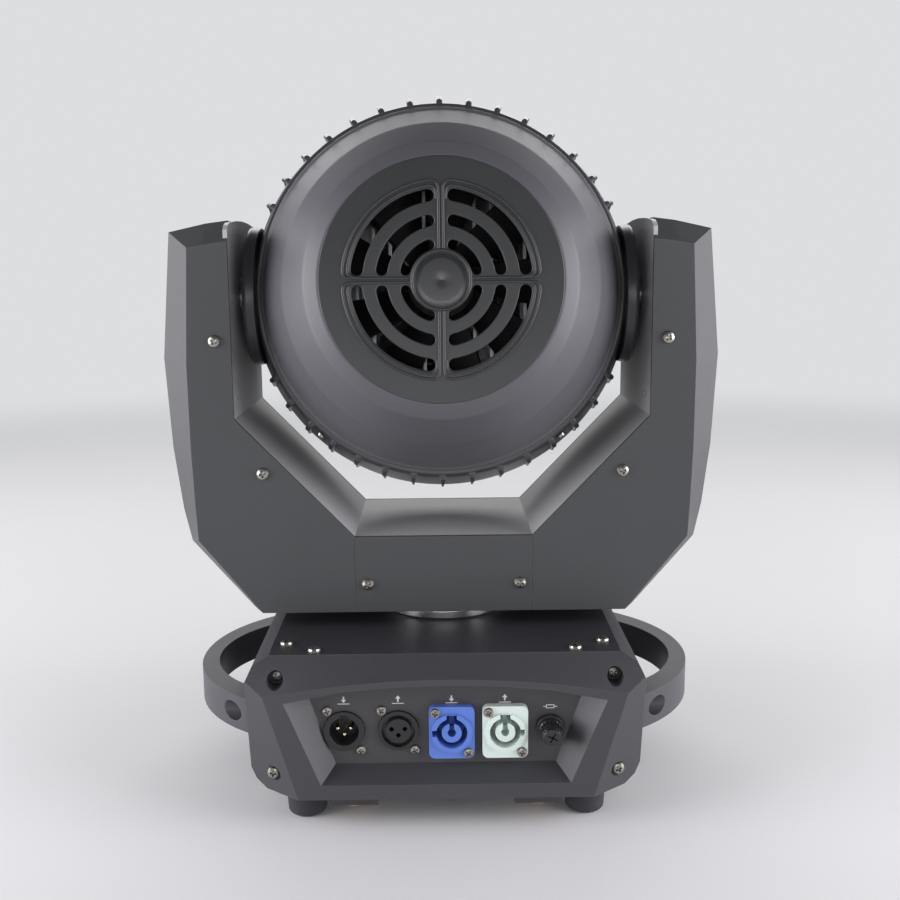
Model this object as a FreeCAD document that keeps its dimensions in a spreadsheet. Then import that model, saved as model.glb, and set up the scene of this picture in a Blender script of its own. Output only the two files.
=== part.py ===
import FreeCAD, Part
import Sketcher
import math
import os

# Moving head wash light: a base with a connector panel, a yoke that pans, and a ribbed round
# head that tilts. Millimetres, +Z up, origin on the pan axis at floor level. The connector panel
# faces -Y (rear), the display and lenses face +Y (front), the tilt axis runs along X, left is -X.
os.makedirs("parts", exist_ok=True)
Vector = FreeCAD.Vector
Placement = FreeCAD.Placement
Rotation = FreeCAD.Rotation
doc = FreeCAD.newDocument("moving_head_light")
sheet = doc.addObject("Spreadsheet::Sheet", "dims")


class Expr:
    """A number that also carries the spreadsheet expression it comes from."""

    def __init__(self, text, value):
        self.text = text
        self.value = float(value)
        self.bound = "dims." in text

    def __add__(self, other):
        return combine(self, "+", other)

    def __radd__(self, other):
        return combine(other, "+", self)

    def __sub__(self, other):
        return combine(self, "-", other)

    def __rsub__(self, other):
        return combine(other, "-", self)

    def __mul__(self, other):
        return combine(self, "*", other)

    __rmul__ = __mul__

    def __neg__(self):
        return Expr("(0 - %s)" % self.text, -self.value)


def expr(x):
    if isinstance(x, Expr):
        return x
    return Expr(("%.6f" % x) if x >= 0 else "(0 - %.6f)" % -x, x)


def combine(left, sign, right):
    left, right = expr(left), expr(right)
    a, b = left.value, right.value
    value = {"+": a + b, "-": a - b, "*": a * b}[sign]
    return Expr("(%s %s %s)" % (left.text, sign, right.text), value)


aliases = []


def dim(alias, value, note=""):
    """Add one driving dimension to the spreadsheet."""
    aliases.append(alias)
    row = len(aliases)
    sheet.set("A%d" % row, alias)
    sheet.set("B%d" % row, "%.4f" % value)
    sheet.setAlias("B%d" % row, alias)
    sheet.set("C%d" % row, note)
    return Expr("dims." + alias, value)


# ---------------------------------------------------------------- driving dimensions
base_half_x = dim("base_half_width", 113.8, "flank of the side covers")
base_top = dim("base_top", 99.7, "upper face of the top plate")
base_bottom = dim("base_bottom", 18.6, "underside of the tray")
plate_half_x = dim("plate_half_x", 100.4)
plate_half_y = dim("plate_half_y", 101.7)
plate_thick = dim("plate_thickness", 2.0)
cap_outer = dim("cap_outer_face", 117.0, "outermost face of an end cap from the pan axis")
cap_inner = dim("cap_inner_face", 94.0)
panel_face = dim("panel_face", 105.0, "face of the connector panel from the pan axis")
panel_thick = dim("panel_thickness", 1.5)
foot_x = dim("foot_x", 82.0)
foot_y = dim("foot_y", 91.0)
foot_r = dim("foot_radius", 12.5)
hub_r = dim("pan_hub_radius", 42.0)
shaft_r = dim("pan_shaft_radius", 17.0)
handle_outer_r = dim("handle_outer_arc", 101.3)
handle_inner_r = dim("handle_inner_arc", 75.1)
handle_reach = dim("handle_reach", 158.5)
handle_grip = dim("handle_grip_thickness", 10.5)
handle_bottom = dim("handle_bottom", 44.0)
handle_top = dim("handle_top", 65.0)
connector_z = dim("connector_height", 55.1)
yoke_face = dim("yoke_half_depth", 55.0, "front and rear faces of the yoke covers")
yoke_chamfer = dim("yoke_chamfer_depth", 36.0, "where the covers' wide chamfer starts")
yoke_bottom = dim("yoke_bottom", 107.5)
arm_inner = dim("arm_inner_face", 123.5)
bar_top = dim("crossbar_top", 156.6)
bar_half_x = dim("crossbar_half_x", 53.7)
diagonal_top = dim("diagonal_top", 228.8)
frame_thick = dim("frame_thickness", 2.5)
cover_thick = dim("cover_thickness", 3.0)
tilt_z = dim("tilt_axis_height", 299.0)
tilt_rest = dim("tilt_rest_angle", 7.0, "degrees the rear of the head is raised at rest")
drum_r = dim("drum_radius", 115.5)
drum_bore_r = dim("drum_bore", 112.5)
rib_tip_r = dim("rib_tip_radius", 121.5)
rib_width = dim("rib_width", 3.4)
rib_positions = dim("rib_positions", 40)
pod_r = dim("pod_radius", 43.0)
pod_face = dim("pod_face", 118.5)
rim_station = dim("rim_station", 34.5)
rim_r = dim("rim_radius", 107.5)
disc_station = dim("rear_disc_station", 88.0)
disc_r = dim("rear_disc_radius", 69.0)
lens_end = dim("lens_end_station", 62.0)
fan_half = dim("fan_half_width", 59.5)
lens_r = dim("lens_radius", 12.8)
ring_pitch = dim("led_ring_pitch", 27.0)
zoom_r = dim("zoom_screw_circle", 101.0)
tilt_motor_z = dim("tilt_motor_height", 160.0)
pan_motor_x = dim("pan_motor_x", 52.0)
tilt_pulley_r = dim("drive_pulley_radius", 36.0)
pan_pulley_r = dim("pan_pulley_radius", 30.0)
tilt_pinion_r = dim("motor_pulley_radius", 7.2)
pan_pinion_r = dim("pan_motor_pulley_radius", 6.0)
run_gap = dim("running_clearance", 0.05)
bracket_x = dim("bracket_half_x", 53.0)
bracket_y = dim("bracket_half_y", 100.0)
bracket_hole_r = dim("bracket_hole_radius", 4.25)
doc.recompute()

SIGNS = (-1, 1)
CORNERS = [(sx, sy) for sx in SIGNS for sy in SIGNS]
SIDES = (("left", -1), ("right", 1))
ENDS = (("rear", -1), ("front", 1))
TURN = {
    "z": Rotation(),
    "x": Rotation(Vector(0, 1, 0), 90),
    "y": Rotation(Vector(1, 0, 0), -90),
}
Z_TO_MINUS_X = Rotation(Vector(0, 1, 0), -90)
nodes = {}


# ---------------------------------------------------------------- document helpers
def at(x, y, z, rotation=Rotation()):
    return Placement(Vector(x, y, z), rotation)


# The head is drawn level about its own centre, then raised to its rest angle.
HEAD = at(0, 0, tilt_z.value, Rotation(Vector(1, 0, 0), -tilt_rest.value))


def keep(obj, label, place=None):
    """Label an object as one of the exported pieces."""
    obj.Label = label
    if place is not None:
        obj.Placement = place
    nodes[label] = obj


def bind(obj, prop, length):
    length = expr(length)
    if length.bound:
        obj.setExpression(prop, length.text)


def new_body(name):
    return doc.addObject("PartDesign::Body", name)


def pin(geo, point):
    """Constraints, with their expressions, that fix the start of a line at a point."""
    pairs = []
    for kind, axis, c in (("DistanceX", -2, expr(point[0])), ("DistanceY", -1, expr(point[1]))):
        if abs(c.value) < 1e-9:
            pairs.append((Sketcher.Constraint("PointOnObject", geo, 1, axis), None))
        elif c.value > 0:
            text = c.text if c.bound else None
            pairs.append((Sketcher.Constraint(kind, -1, 1, geo, 1, c.value), text))
        else:
            text = "0 - " + c.text if c.bound else None
            pairs.append((Sketcher.Constraint(kind, geo, 1, -1, 1, -c.value), text))
    return pairs


def sketch(body, role, offset, points):
    """Closed, fully pinned polygon on a plane parallel to one of the body's origin planes."""
    sk = body.newObject("Sketcher::SketchObject", "Sketch")
    plane = [f for f in body.Origin.OriginFeatures if f.Role == role][0]
    sk.AttachmentSupport = [(plane, "")]
    sk.MapMode = "FlatFace"
    sk.AttachmentOffset = at(0, 0, expr(offset).value)
    bind(sk, "AttachmentOffset.Base.z", offset)
    count = len(points)
    corners = [Vector(expr(p[0]).value, expr(p[1]).value, 0) for p in points]
    lines = [Part.LineSegment(corners[i], corners[(i + 1) % count]) for i in range(count)]
    sk.addGeometry(lines, False)
    pairs = [(Sketcher.Constraint("Coincident", i, 2, (i + 1) % count, 1), None)
             for i in range(count)]
    for i in range(count):
        pairs += pin(i, points[i])
    sk.addConstraint([constraint for constraint, _ in pairs])
    for i, (_, text) in enumerate(pairs):
        if text:
            sk.setExpression("Constraints[%d]" % i, text)
    sk.Visibility = False
    return sk


def add_pad(body, axis, start, end, points, pocket=False):
    """Pad, or pocket, a polygon from start to end along a world axis."""
    start, end = expr(start), expr(end)
    # The XZ plane's normal points to -Y, so there the sketch lies at the far end.
    role, offset = {"z": ("XY_Plane", start), "y": ("XZ_Plane", -end),
                    "x": ("YZ_Plane", start)}[axis]
    length = end - start
    profile = sketch(body, role, offset, points)
    kind = "Pocket" if pocket else "Pad"
    f = body.newObject("PartDesign::" + kind, kind)
    f.Profile = profile
    f.Length = length.value
    bind(f, "Length", length)
    if pocket:
        f.Reversed = True


def prism(name, axis, start, end, points):
    body = new_body(name)
    add_pad(body, axis, start, end, points)
    return body


def lathe(name, axis, points):
    """Turned solid: points are (radius, station) pairs about a world axis."""
    body = new_body(name)
    if axis == "x":
        points = [(along, radius) for radius, along in points]
    profile = sketch(body, "XZ_Plane" if axis == "z" else "XY_Plane", 0, points)
    f = body.newObject("PartDesign::Revolution", "Revolution")
    f.Profile = profile
    f.ReferenceAxis = (profile, ["H_Axis" if axis == "x" else "V_Axis"])
    f.Angle = 360.0
    return body


def loft(body, y_a, points_a, y_b, points_b, cut=False):
    """Ruled loft between two outlines drawn at two Y stations."""
    first = sketch(body, "XZ_Plane", -expr(y_a), points_a)
    second = sketch(body, "XZ_Plane", -expr(y_b), points_b)
    f = body.newObject("PartDesign::" + ("SubtractiveLoft" if cut else "AdditiveLoft"), "Loft")
    f.Profile = first
    f.Sections = [second]
    f.Ruled = True


def place_bound(obj, corner, rotation):
    corner = [expr(c) for c in corner]
    obj.Placement = at(*[c.value for c in corner], rotation)
    for letter, c in zip("xyz", corner):
        bind(obj, "Placement.Base." + letter, c)


def cyl(axis, x, y, z, radius, length):
    """Cylinder starting at (x, y, z) and running along +axis."""
    obj = doc.addObject("Part::Cylinder", "Cylinder")
    obj.Radius = expr(radius).value
    bind(obj, "Radius", radius)
    obj.Height = expr(length).value
    bind(obj, "Height", length)
    place_bound(obj, (x, y, z), TURN[axis])
    return obj


def box(x0, y0, z0, x1, y1, z1):
    obj = doc.addObject("Part::Box", "Box")
    low, high = (x0, y0, z0), (x1, y1, z1)
    for prop, a, b in zip(("Length", "Width", "Height"), low, high):
        size = expr(b) - a
        setattr(obj, prop, size.value)
        bind(obj, prop, size)
    place_bound(obj, low, Rotation())
    return obj


def y_block(x, z, half_x, half_z, y0, y1):
    """Box centred on (x, z) and running from y0 to y1."""
    return box(x - half_x, y0, z - half_z, x + half_x, y1, z + half_z)


def on_side(sign, near, far):
    """Ascending span between two distances from the centre, on the + or - side."""
    return (near, far) if sign > 0 else (-expr(far), -expr(near))


def side_cyl_x(sx, y, z, radius, near, far):
    return cyl("x", on_side(sx, near, far)[0], y, z, radius, expr(far) - near)


def side_cyl_y(sy, x, z, radius, near, far):
    return cyl("y", x, on_side(sy, near, far)[0], z, radius, expr(far) - near)


def fuse(parts):
    if len(parts) == 1:
        return parts[0]
    obj = doc.addObject("Part::MultiFuse", "Fusion")
    obj.Shapes = parts
    return obj


def cut(base, tools):
    obj = doc.addObject("Part::Cut", "Cut")
    obj.Base = base
    obj.Tool = fuse(tools)
    return obj


def common(a, b):
    obj = doc.addObject("Part::MultiCommon", "Common")
    obj.Shapes = [a, b]
    return obj


def group(parts):
    obj = doc.addObject("Part::Compound", "Group")
    obj.Links = parts
    return obj


def static(shape, name="Tool"):
    """Document object holding a shape that was computed directly."""
    obj = doc.addObject("Part::Feature", name)
    obj.Shape = shape
    return obj


def closed(points):
    return Part.makePolygon(points + points[:1])


def extruded(points, direction):
    return Part.Face(closed(points)).extrude(direction)


def mirrored(points, sx):
    """Outline on the +X side, or its mirror image on the -X side."""
    if sx > 0:
        return points
    return [(expr(x) * sx, z) for x, z in points][::-1]


def symmetric(half):
    return mirrored(half, -1) + half


# ---------------------------------------------------------------- base: shared places
handle_screw_y = 72.0
handle_screw_z = 54.5
handle_screw_seat = 119.0
top_screw_r = 1.6
cap_fit = 0.2                   # gap between the end caps and the parts between them
cap_y = cap_inner - cap_fit
plate_bottom = base_top - plate_thick
TOP_SCREWS = [(75.1, 96.0), (92.5, 84.0)]                   # x, y
CAP_SCREWS = [(96.0, 88.2, 103.5), (99.2, 31.4, 107.0)]     # x, z, y of the screw seat

# Outlines in (x, z), right-hand half.
FLANK = [(109.6, 94.8), (base_half_x, 86.0), (base_half_x, 30.0), (110.6, 23.0),
         (104.0, base_bottom)]
COVER_INSIDE = [
    (101.0, base_bottom + 2.5), (103.0, base_bottom + 2.5), (108.8, 24.6),
    (base_half_x - 2.5, 31.0), (base_half_x - 2.5, 85.4), (108.4, 92.4),
    (plate_half_x + 0.2, 96.8)]
COVER = [(plate_half_x + 0.2, base_top)] + FLANK + [(101.0, base_bottom)] + COVER_INSIDE
CAP = symmetric(FLANK[::-1] + [(plate_half_x, base_top)])
CAP_HOLLOW = symmetric([(94.0, 22.0), (97.0, 24.0), (100.8, 33.5), (110.3, 73.0),
                        (104.0, 86.5), (97.0, 94.0)])


# ---------------------------------------------------------------- base: housing
def side_covers():
    for side, sx in SIDES:
        skin = prism("SideSkin", "y", -cap_y, cap_y, mirrored(COVER, sx))
        holes = [side_cyl_x(sx, sy * handle_screw_y, handle_screw_z, 2.05, 105.0, 125.0)
                 for sy in SIGNS]
        keep(cut(skin, holes), "side_cover_" + side)


def base_tray():
    floor_top = base_bottom + 2
    keep(fuse([
        box(-plate_half_x, -cap_y, base_bottom, plate_half_x, cap_y, floor_top),
        box(-98, -cap_y, floor_top, -96, cap_y, plate_bottom),
        box(96, -cap_y, floor_top, 98, cap_y, plate_bottom),
    ]), "base_tray")


def top_plate():
    holes = [cyl("z", 0, 0, base_top - 5, shaft_r, 10)]
    for x, y in TOP_SCREWS:
        for sx, sy in CORNERS:
            holes.append(cyl("z", sx * x, sy * y, base_top - 5, top_screw_r, 10))
    plate = box(-plate_half_x, -plate_half_y, plate_bottom, plate_half_x, plate_half_y, base_top)
    keep(cut(plate, holes), "top_plate")


# ---------------------------------------------------------------- base: end caps
def recess(bottom_x, bottom_z, top_x, arch_z, rise):
    """Recess outline whose top edge is a faceted arch above two upright-ish sides."""
    steps = 6
    arch = [(top_x - 2 * top_x * i / steps, arch_z + rise * (1 - (1 - 2.0 * i / steps) ** 2))
            for i in range(1, steps)]
    side_z = 76.5
    return ([(-bottom_x, bottom_z), (bottom_x, bottom_z), (top_x, side_z)] + arch
            + [(-top_x, side_z)])


RECESS_MOUTH = recess(71.0, 27.3, 91.0, 78.0, 8.2)
REAR_FLOOR = recess(63.5, 35.2, 78.5, 78.2, 6.0)
FRONT_FLOOR = recess(66.0, 32.6, 82.5, 78.2, 6.8)


def facet_tool(sy):
    """Removes the wedge above the sloping upper facet, whose lower edge is a shallow arch."""
    top, near_y = base_top.value, plate_half_y.value
    far_y = cap_outer.value + 8
    tool_top = 112.0
    wires = []
    for x in (-120.0, -60.0, 0.0, 60.0, 120.0):
        edge_z = 89.6 - 9.2 * (x / 102.0) ** 2
        slope = (top - edge_z) / (cap_outer.value - near_y)
        wires.append(closed([
            Vector(x, sy * near_y, top),
            Vector(x, sy * far_y, top - slope * (far_y - near_y)),
            Vector(x, sy * far_y, tool_top),
            Vector(x, sy * near_y, tool_top)]))
    return static(Part.makeLoft(wires, True, False), "FacetTool")


def side_tool(sx, sy):
    """Thick slab outside the slanted side facet of an end cap."""
    upper = Vector(sx * 102.5, sy * cap_outer.value, 80)
    lower = Vector(sx * 87.0, sy * cap_outer.value, 28)
    flank = Vector(sx * base_half_x.value, sy * 101.0, 50)
    normal = (lower - upper).cross(flank - upper).normalize()
    if normal.x * sx < 0:
        normal = -normal
    along = (lower - upper).normalize()
    across = normal.cross(along)
    centre = (upper + flank) * 0.5
    points = [centre + along * i + across * j
              for i, j in ((-90, -60), (90, -60), (90, 60), (-90, 60))]
    return static(extruded(points, normal * 40), "SideTool")


def cap_blank(sy, hollow_depth, recess_depth, floor):
    body = new_body("CapBlank")
    add_pad(body, "y", *on_side(sy, cap_inner, cap_outer), CAP)
    add_pad(body, "y", *on_side(sy, cap_inner, cap_inner + hollow_depth), CAP_HOLLOW, pocket=True)
    loft(body, sy * cap_outer, RECESS_MOUTH, sy * (cap_outer - recess_depth), floor, cut=True)
    # screw pillars behind the four corner counterbores
    pillars = [side_cyl_y(sy, sx * x, z, 6.6, 94.4, 106.0)
               for sx in SIGNS for x, z, _ in CAP_SCREWS]
    return fuse([body] + pillars)


def cap_tools(sy):
    tools = [facet_tool(sy), side_tool(-1, sy), side_tool(1, sy),
             box(-plate_half_x, -plate_half_y, plate_bottom,
                 plate_half_x, plate_half_y, base_top + 2)]
    top_x, top_y = TOP_SCREWS[0]
    for sx in SIGNS:
        tools.append(cyl("z", sx * bracket_x, sy * bracket_y, base_bottom - 2,
                         bracket_hole_r + 0.2, 10))
        tools.append(cyl("z", sx * top_x, sy * top_y, base_top - 12, top_screw_r, 14))
        for x, z, seat in CAP_SCREWS:
            tools.append(side_cyl_y(sy, sx * x, z, 4.7, seat, 130))
            tools.append(side_cyl_y(sy, sx * x, z, 2.05, seat - 16, seat))
    return tools


def rear_end_cap():
    blank = cap_blank(-1, panel_face - cap_inner, cap_outer - panel_face, REAR_FLOOR)
    keep(cut(blank, cap_tools(-1)), "rear_end_cap")


# display edges
display_x0, display_x1 = -58.0, 10.0
display_z0, display_z1 = 40.0, 76.0
display_back = cap_outer - 10
board_face = 100.1
BUTTONS = [("button_menu", 28.0, 66.0), ("button_up", 50.0, 66.0),
           ("button_down", 50.0, 46.0), ("button_enter", 28.0, 46.0)]   # label, x, z


def display_box(inset, y0, y1):
    return box(display_x0 + inset, y0, display_z0 + inset,
               display_x1 - inset, y1, display_z1 - inset)


def front_end_cap():
    """The same moulding as the rear, with a shallower recess and a closed floor."""
    blank = cap_blank(1, hollow_depth=10, recess_depth=8, floor=FRONT_FLOOR)
    tools = cap_tools(1) + [display_box(2, 90, 125), display_box(0, display_back, 125)]
    tools += [cyl("y", x, 90, z, 5.05, 35) for _, x, z in BUTTONS]
    keep(cut(blank, tools), "front_end_cap")


def display_and_buttons():
    keep(display_box(0.1, display_back, cap_outer - 7.6), "display_window")
    board = [box(-62, 98.5, 37, 60, board_face, 79), display_box(4, board_face, 104.5)]
    board += [y_block(x, z, 3, 3, board_face, 101.6) for _, x, z in BUTTONS]
    keep(fuse(board), "display_board")
    profile = [(0, 103.2), (6.4, 103.2), (6.4, 103.9), (5.0, 103.9), (5.0, 110.9),
               (4.2, 111.7), (0, 111.7)]                    # radius, y
    for label, x, z in BUTTONS:
        keep(lathe(label + "_cap", "y", profile), label, at(x, 0, z))


# ---------------------------------------------------------------- base: connector panel
PANEL = [(-84.0, 29.0), (84.0, 29.0), (92.0, 78.0), (60.0, 84.0), (0.0, 86.5),
         (-60.0, 84.0), (-92.0, 78.0)]                      # x, z
CONNECTOR_X = {"data_in": -58.2, "data_out": -27.2, "power_in": 3.4, "power_out": 33.9}
PIN_OFFSETS = ((-3.8, 1.2), (3.8, 1.2), (0, -2.5))          # x, z from the connector axis
fuse_x, fuse_z = 59.9, 55.7
flange_half_x, flange_half_z = 13, 15.5
flange_screw_x, flange_screw_z = 9.5, 12    # the two screws sit on a diagonal
power_flange = 5.0                          # thickness
panel_back = -panel_face + panel_thick


def flange_holes(x, y, length):
    return [cyl("y", s * flange_screw_x + x, y, connector_z - flange_screw_z * s, 1.55, length)
            for s in SIGNS]


def connector_panel():
    holes = [cyl("y", x, -110, connector_z, 11.95, 12) for x in CONNECTOR_X.values()]
    holes.append(cyl("y", fuse_x, -110, fuse_z, 6.1, 12))
    for x in CONNECTOR_X.values():
        holes += flange_holes(x, -110, 12)
    keep(cut(prism("PanelBlank", "y", -panel_face, panel_back, PANEL), holes), "connector_panel")


def data_shell(x):
    """Barrel and flange of a data connector, fitted from behind the panel."""
    return fuse([cyl("y", x, -panel_face - 1.8, connector_z, 11.8, 24),
                 y_block(x, connector_z, flange_half_x, flange_half_z,
                         panel_back, panel_back + 2.2)])


def data_in_connector():
    x = CONNECTOR_X["data_in"]
    socket = [cyl("y", x, -panel_face - 3, connector_z, 8.4, 16),
              box(x - 2.2, -panel_face - 3, connector_z + 7,
                  x + 2.2, -panel_face + 12, connector_z + 9.6)]
    shell = cut(data_shell(x), socket + flange_holes(x, -110, 16))
    pins = [cyl("y", x + dx, -panel_face + 0.5, connector_z + dz, 1.15, 14)
            for dx, dz in PIN_OFFSETS]
    keep(fuse([shell] + pins), "data_in_connector")


def data_out_connector():
    x = CONNECTOR_X["data_out"]
    pin_holes = [cyl("y", x + dx, -panel_face - 4, connector_z + dz, 1.35, 16)
                 for dx, dz in PIN_OFFSETS]
    groove = cut(cyl("y", x, -panel_face - 3, connector_z, 9.6, 5.2),
                 [cyl("y", x, -panel_face - 4, connector_z, 7.3, 8)])
    notch = box(x - 2, -panel_face - 3, connector_z - 9.8,
                x + 2, -panel_face + 3, connector_z - 7.2)
    tools = pin_holes + [groove, notch] + flange_holes(x, -110, 16)
    keep(cut(data_shell(x), tools), "data_out_connector")


def power_connector(name, key_side):
    """Locking mains connector with its rounded flange in front of the panel."""
    x = CONNECTOR_X[name]
    well_y = -panel_face - 8
    blank = y_block(x, connector_z, flange_half_x, flange_half_z,
                    -panel_face - power_flange, -panel_face)
    doc.recompute()
    corner_edges = [i + 1 for i, edge in enumerate(blank.Shape.Edges)
                    if abs(abs(edge.tangentAt(edge.FirstParameter).y) - 1) < 1e-6]
    flange = doc.addObject("Part::Fillet", "Flange")
    flange.Base = blank
    flange.Edges = [(i, 3.5, 3.5) for i in corner_edges]
    solid = fuse([flange,
                  cyl("y", x, -panel_face - 6.4, connector_z, 11.6, 7),
                  cyl("y", x, -panel_face, connector_z, 11.8, 22)])
    well = cyl("y", x, well_y, connector_z, 8.9, 20)
    core = cut(cyl("y", x, -panel_face - 5.4, connector_z, 5.7, 18),
               [box(x - 1.4, well_y, connector_z + 0.5, x + 1.4, -panel_face + 6, connector_z + 8),
                cyl("y", x, well_y, connector_z, 2.4, 12)])
    keyways = [box(x - 2.9, well_y, connector_z + 6,
                   x + 2.9, -panel_face + 8, connector_z + 11.0),
               y_block(x + key_side * 9.6, connector_z, 1.6, 1.9, well_y, -panel_face + 8)]
    shell = cut(solid, [well] + keyways + flange_holes(x, -114, 20))
    keep(fuse([shell, core]), name + "_connector")


def fuse_holder():
    body = fuse([cyl("y", fuse_x, -panel_face - 3.5, fuse_z, 8.2, 3.5),
                 cyl("y", fuse_x, -panel_face, fuse_z, 6.0, 26)])
    keep(cut(body, [cyl("y", fuse_x, -125, fuse_z, 5.05, 40)]), "fuse_holder")
    cap = fuse([cyl("y", fuse_x, -panel_face - 15.5, fuse_z, 6.6, 11.9),
                cyl("y", fuse_x, -panel_face - 4, fuse_z, 5.0, 22)])
    cross = [y_block(fuse_x, fuse_z, 4, 0.6, -122, -119.3),
             y_block(fuse_x, fuse_z, 0.6, 4, -122, -119.3)]
    keep(cut(cap, cross), "fuse_cap")


# ---------------------------------------------------------------- base: fittings
def handles():
    """D-shaped carrying handles screwed to the flanks."""
    height = handle_top - handle_bottom
    for side, sx in SIDES:
        outer = cyl("z", sx * (handle_reach - handle_outer_r), 0, handle_bottom,
                    handle_outer_r, height)
        inner = cyl("z", sx * (handle_reach - handle_grip - handle_inner_r), 0,
                    handle_bottom - 5, handle_inner_r, height + 10)
        x0, x1 = on_side(sx, base_half_x, 170)
        outside = box(x0, -100, handle_bottom - 10, x1, 100, handle_top + 10)
        holes = []
        for sy in SIGNS:
            y = sy * handle_screw_y
            holes.append(side_cyl_x(sx, y, handle_screw_z, 6.0, handle_screw_seat, 170.0))
            holes.append(side_cyl_x(sx, y, handle_screw_z, 2.1, 105.0, 125.0))
        keep(common(cut(cut(outer, [inner]), holes), outside), "handle_" + side)


def rubber_feet():
    profile = [(0, 3.5), (3.0, 3.5), (3.0, 0), (foot_r - 3.0, 0), (foot_r - 1.2, 1.6),
               (foot_r, base_bottom), (0, base_bottom)]     # radius, z
    feet = []
    for sx, sy in CORNERS:
        foot = lathe("Foot", "z", profile)
        foot.Placement = at(sx * foot_x.value, sy * foot_y.value, 0)
        feet.append(foot)
    keep(group(feet), "rubber_feet")


def bracket_mounts():
    """Rails under the base and the quarter-turn receptacles set into them."""
    sleeve_r = bracket_hole_r + 1.5
    rail_bottom = base_bottom - 6
    rails, receptacles = [], []
    for sx in SIGNS:
        x = sx * bracket_x
        holes = [cyl("z", x, sy * bracket_y, 5, sleeve_r, 20) for sy in SIGNS]
        rails.append(cut(box(x - 14, -112, rail_bottom, x + 14, 112, base_bottom), holes))
        for sy in SIGNS:
            y = sy * bracket_y
            receptacle = fuse([cyl("z", x, y, base_bottom - 7.8, 9.0, 1.8),
                               cyl("z", x, y, rail_bottom, sleeve_r, 6)])
            receptacles.append(cut(receptacle, [cyl("z", x, y, 5, bracket_hole_r, 20)]))
    keep(group(rails), "bracket_rails")
    keep(group(receptacles), "quarter_turn_receptacles")


def power_supply():
    slots = [box(-46 + 8 * i, -30, 56, -42 + 8 * i, 54, 66) for i in range(12)]
    case = cut(box(-52, -38, 22.6, 52, 62, 62), slots)
    end_block = box(-46, -44, 24, 46, -38, 34)
    posts = [cyl("z", sx * 44, y, base_bottom + 2, 3.0, 4) for sx in SIGNS for y in (-30, 54)]
    keep(fuse([case, end_block] + posts), "power_supply")


def main_board():
    blocks = [box(-60 + 30 * i, 72, 34, -44 + 30 * i, 80, 50) for i in range(4)]
    keep(fuse([box(-72, 80, 26, 72, 81.6, 90)] + blocks
              + [box(-20, 76.5, 60, 14, 80, 82),
                 cyl("y", 40, 70, 70, 6, 10),
                 cyl("y", 56, 70, 70, 6, 10)]), "main_board")


# ---------------------------------------------------------------- drives
PAN_DRIVE = (117.2, 126.4)      # z of the pan pulleys' faces
TILT_DRIVE = (128.4, 138.4)     # distance of the tilt pulleys' faces towards -X
pulley_flange = 0.8
tooth_depth = 0.7
motor_shaft_r = 2.45
motor_bore_r = 2.5
motor_half = 21
belt_gap = 0.12
belt_thick = 1.3
trunnion_r = 12.0


def toothed(radius, bore, low, high, teeth):
    """Timing pulley about Z: a toothed rim between two thin flanges."""
    root = radius - tooth_depth
    points = []
    for i in range(teeth):
        for phase, r in ((0.0, radius), (0.5, radius), (0.55, root), (0.95, root)):
            angle = 2 * math.pi * (i + phase) / teeth
            points.append(Vector(r * math.cos(angle), r * math.sin(angle), low + pulley_flange))
    rim = extruded(points, Vector(0, 0, high - low - 2 * pulley_flange))
    flange_r = radius + 1.2
    pulley = rim.fuse([
        Part.makeCylinder(flange_r, pulley_flange, Vector(0, 0, low)),
        Part.makeCylinder(flange_r, pulley_flange, Vector(0, 0, high - pulley_flange))])
    if bore:
        pulley = pulley.cut(Part.makeCylinder(bore, high - low + 2, Vector(0, 0, low - 1)))
    return pulley.removeSplitter()


def belt(r1, r2, distance, low, high):
    """Closed belt round two pulleys: one at the origin, one at +distance along X."""
    def outline(grow):
        ra, rb = r1 + grow, r2 + grow
        wrap = math.acos((ra - rb) / distance)

        def point(cx, r, angle):
            return Vector(cx + r * math.cos(angle), r * math.sin(angle), low)

        def arc(cx, r, middle):
            return Part.Arc(point(cx, r, wrap), point(cx, r, middle),
                            point(cx, r, -wrap)).toShape()

        far_arc = Part.Arc(point(distance, rb, -wrap), point(distance, rb, 0),
                           point(distance, rb, wrap)).toShape()
        return Part.Wire([
            arc(0, ra, math.pi),
            Part.makeLine(point(0, ra, -wrap), point(distance, rb, -wrap)),
            far_arc,
            Part.makeLine(point(distance, rb, wrap), point(0, ra, wrap))])

    height = Vector(0, 0, high - low)
    outside = Part.Face(outline(belt_gap + belt_thick)).extrude(height)
    return outside.cut(Part.Face(outline(belt_gap)).extrude(height))


def pan_hub():
    profile = [
        (11.0, 68.0), (shaft_r, 68.0), (shaft_r, base_top), (hub_r - 0.8, base_top),
        (hub_r, base_top + 0.8), (hub_r, base_top + 5.2), (hub_r - 1.2, base_top + 6.4),
        (shaft_r + 1.5, base_top + 6.4), (shaft_r + 1.5, base_top + 7.0),
        (shaft_r, base_top + 7.0), (shaft_r, 126.6), (11.0, 126.6)]     # radius, z
    keep(lathe("PanHub", "z", profile), "pan_hub")


def pan_drive():
    pulley = toothed(pan_pulley_r.value, shaft_r.value, *PAN_DRIVE, teeth=60)
    keep(static(pulley), "pan_pulley")
    pinion = toothed(pan_pinion_r.value, 0, *PAN_DRIVE, teeth=12)
    shaft = Part.makeCylinder(motor_shaft_r, 13.0, Vector(0, 0, PAN_DRIVE[1]))
    keep(static(pinion.fuse(shaft)), "pan_motor_pulley", at(pan_motor_x.value, 0, 0))
    loop = belt(pan_pulley_r.value, pan_pinion_r.value, pan_motor_x.value, 118.3, 125.3)
    keep(static(loop), "pan_belt")
    motor = box(pan_motor_x - motor_half, -motor_half, 129.6,
                pan_motor_x + motor_half, motor_half, 152.4)
    keep(cut(motor, [cyl("z", pan_motor_x, 0, 128, motor_bore_r, 14)]), "pan_motor")


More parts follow.
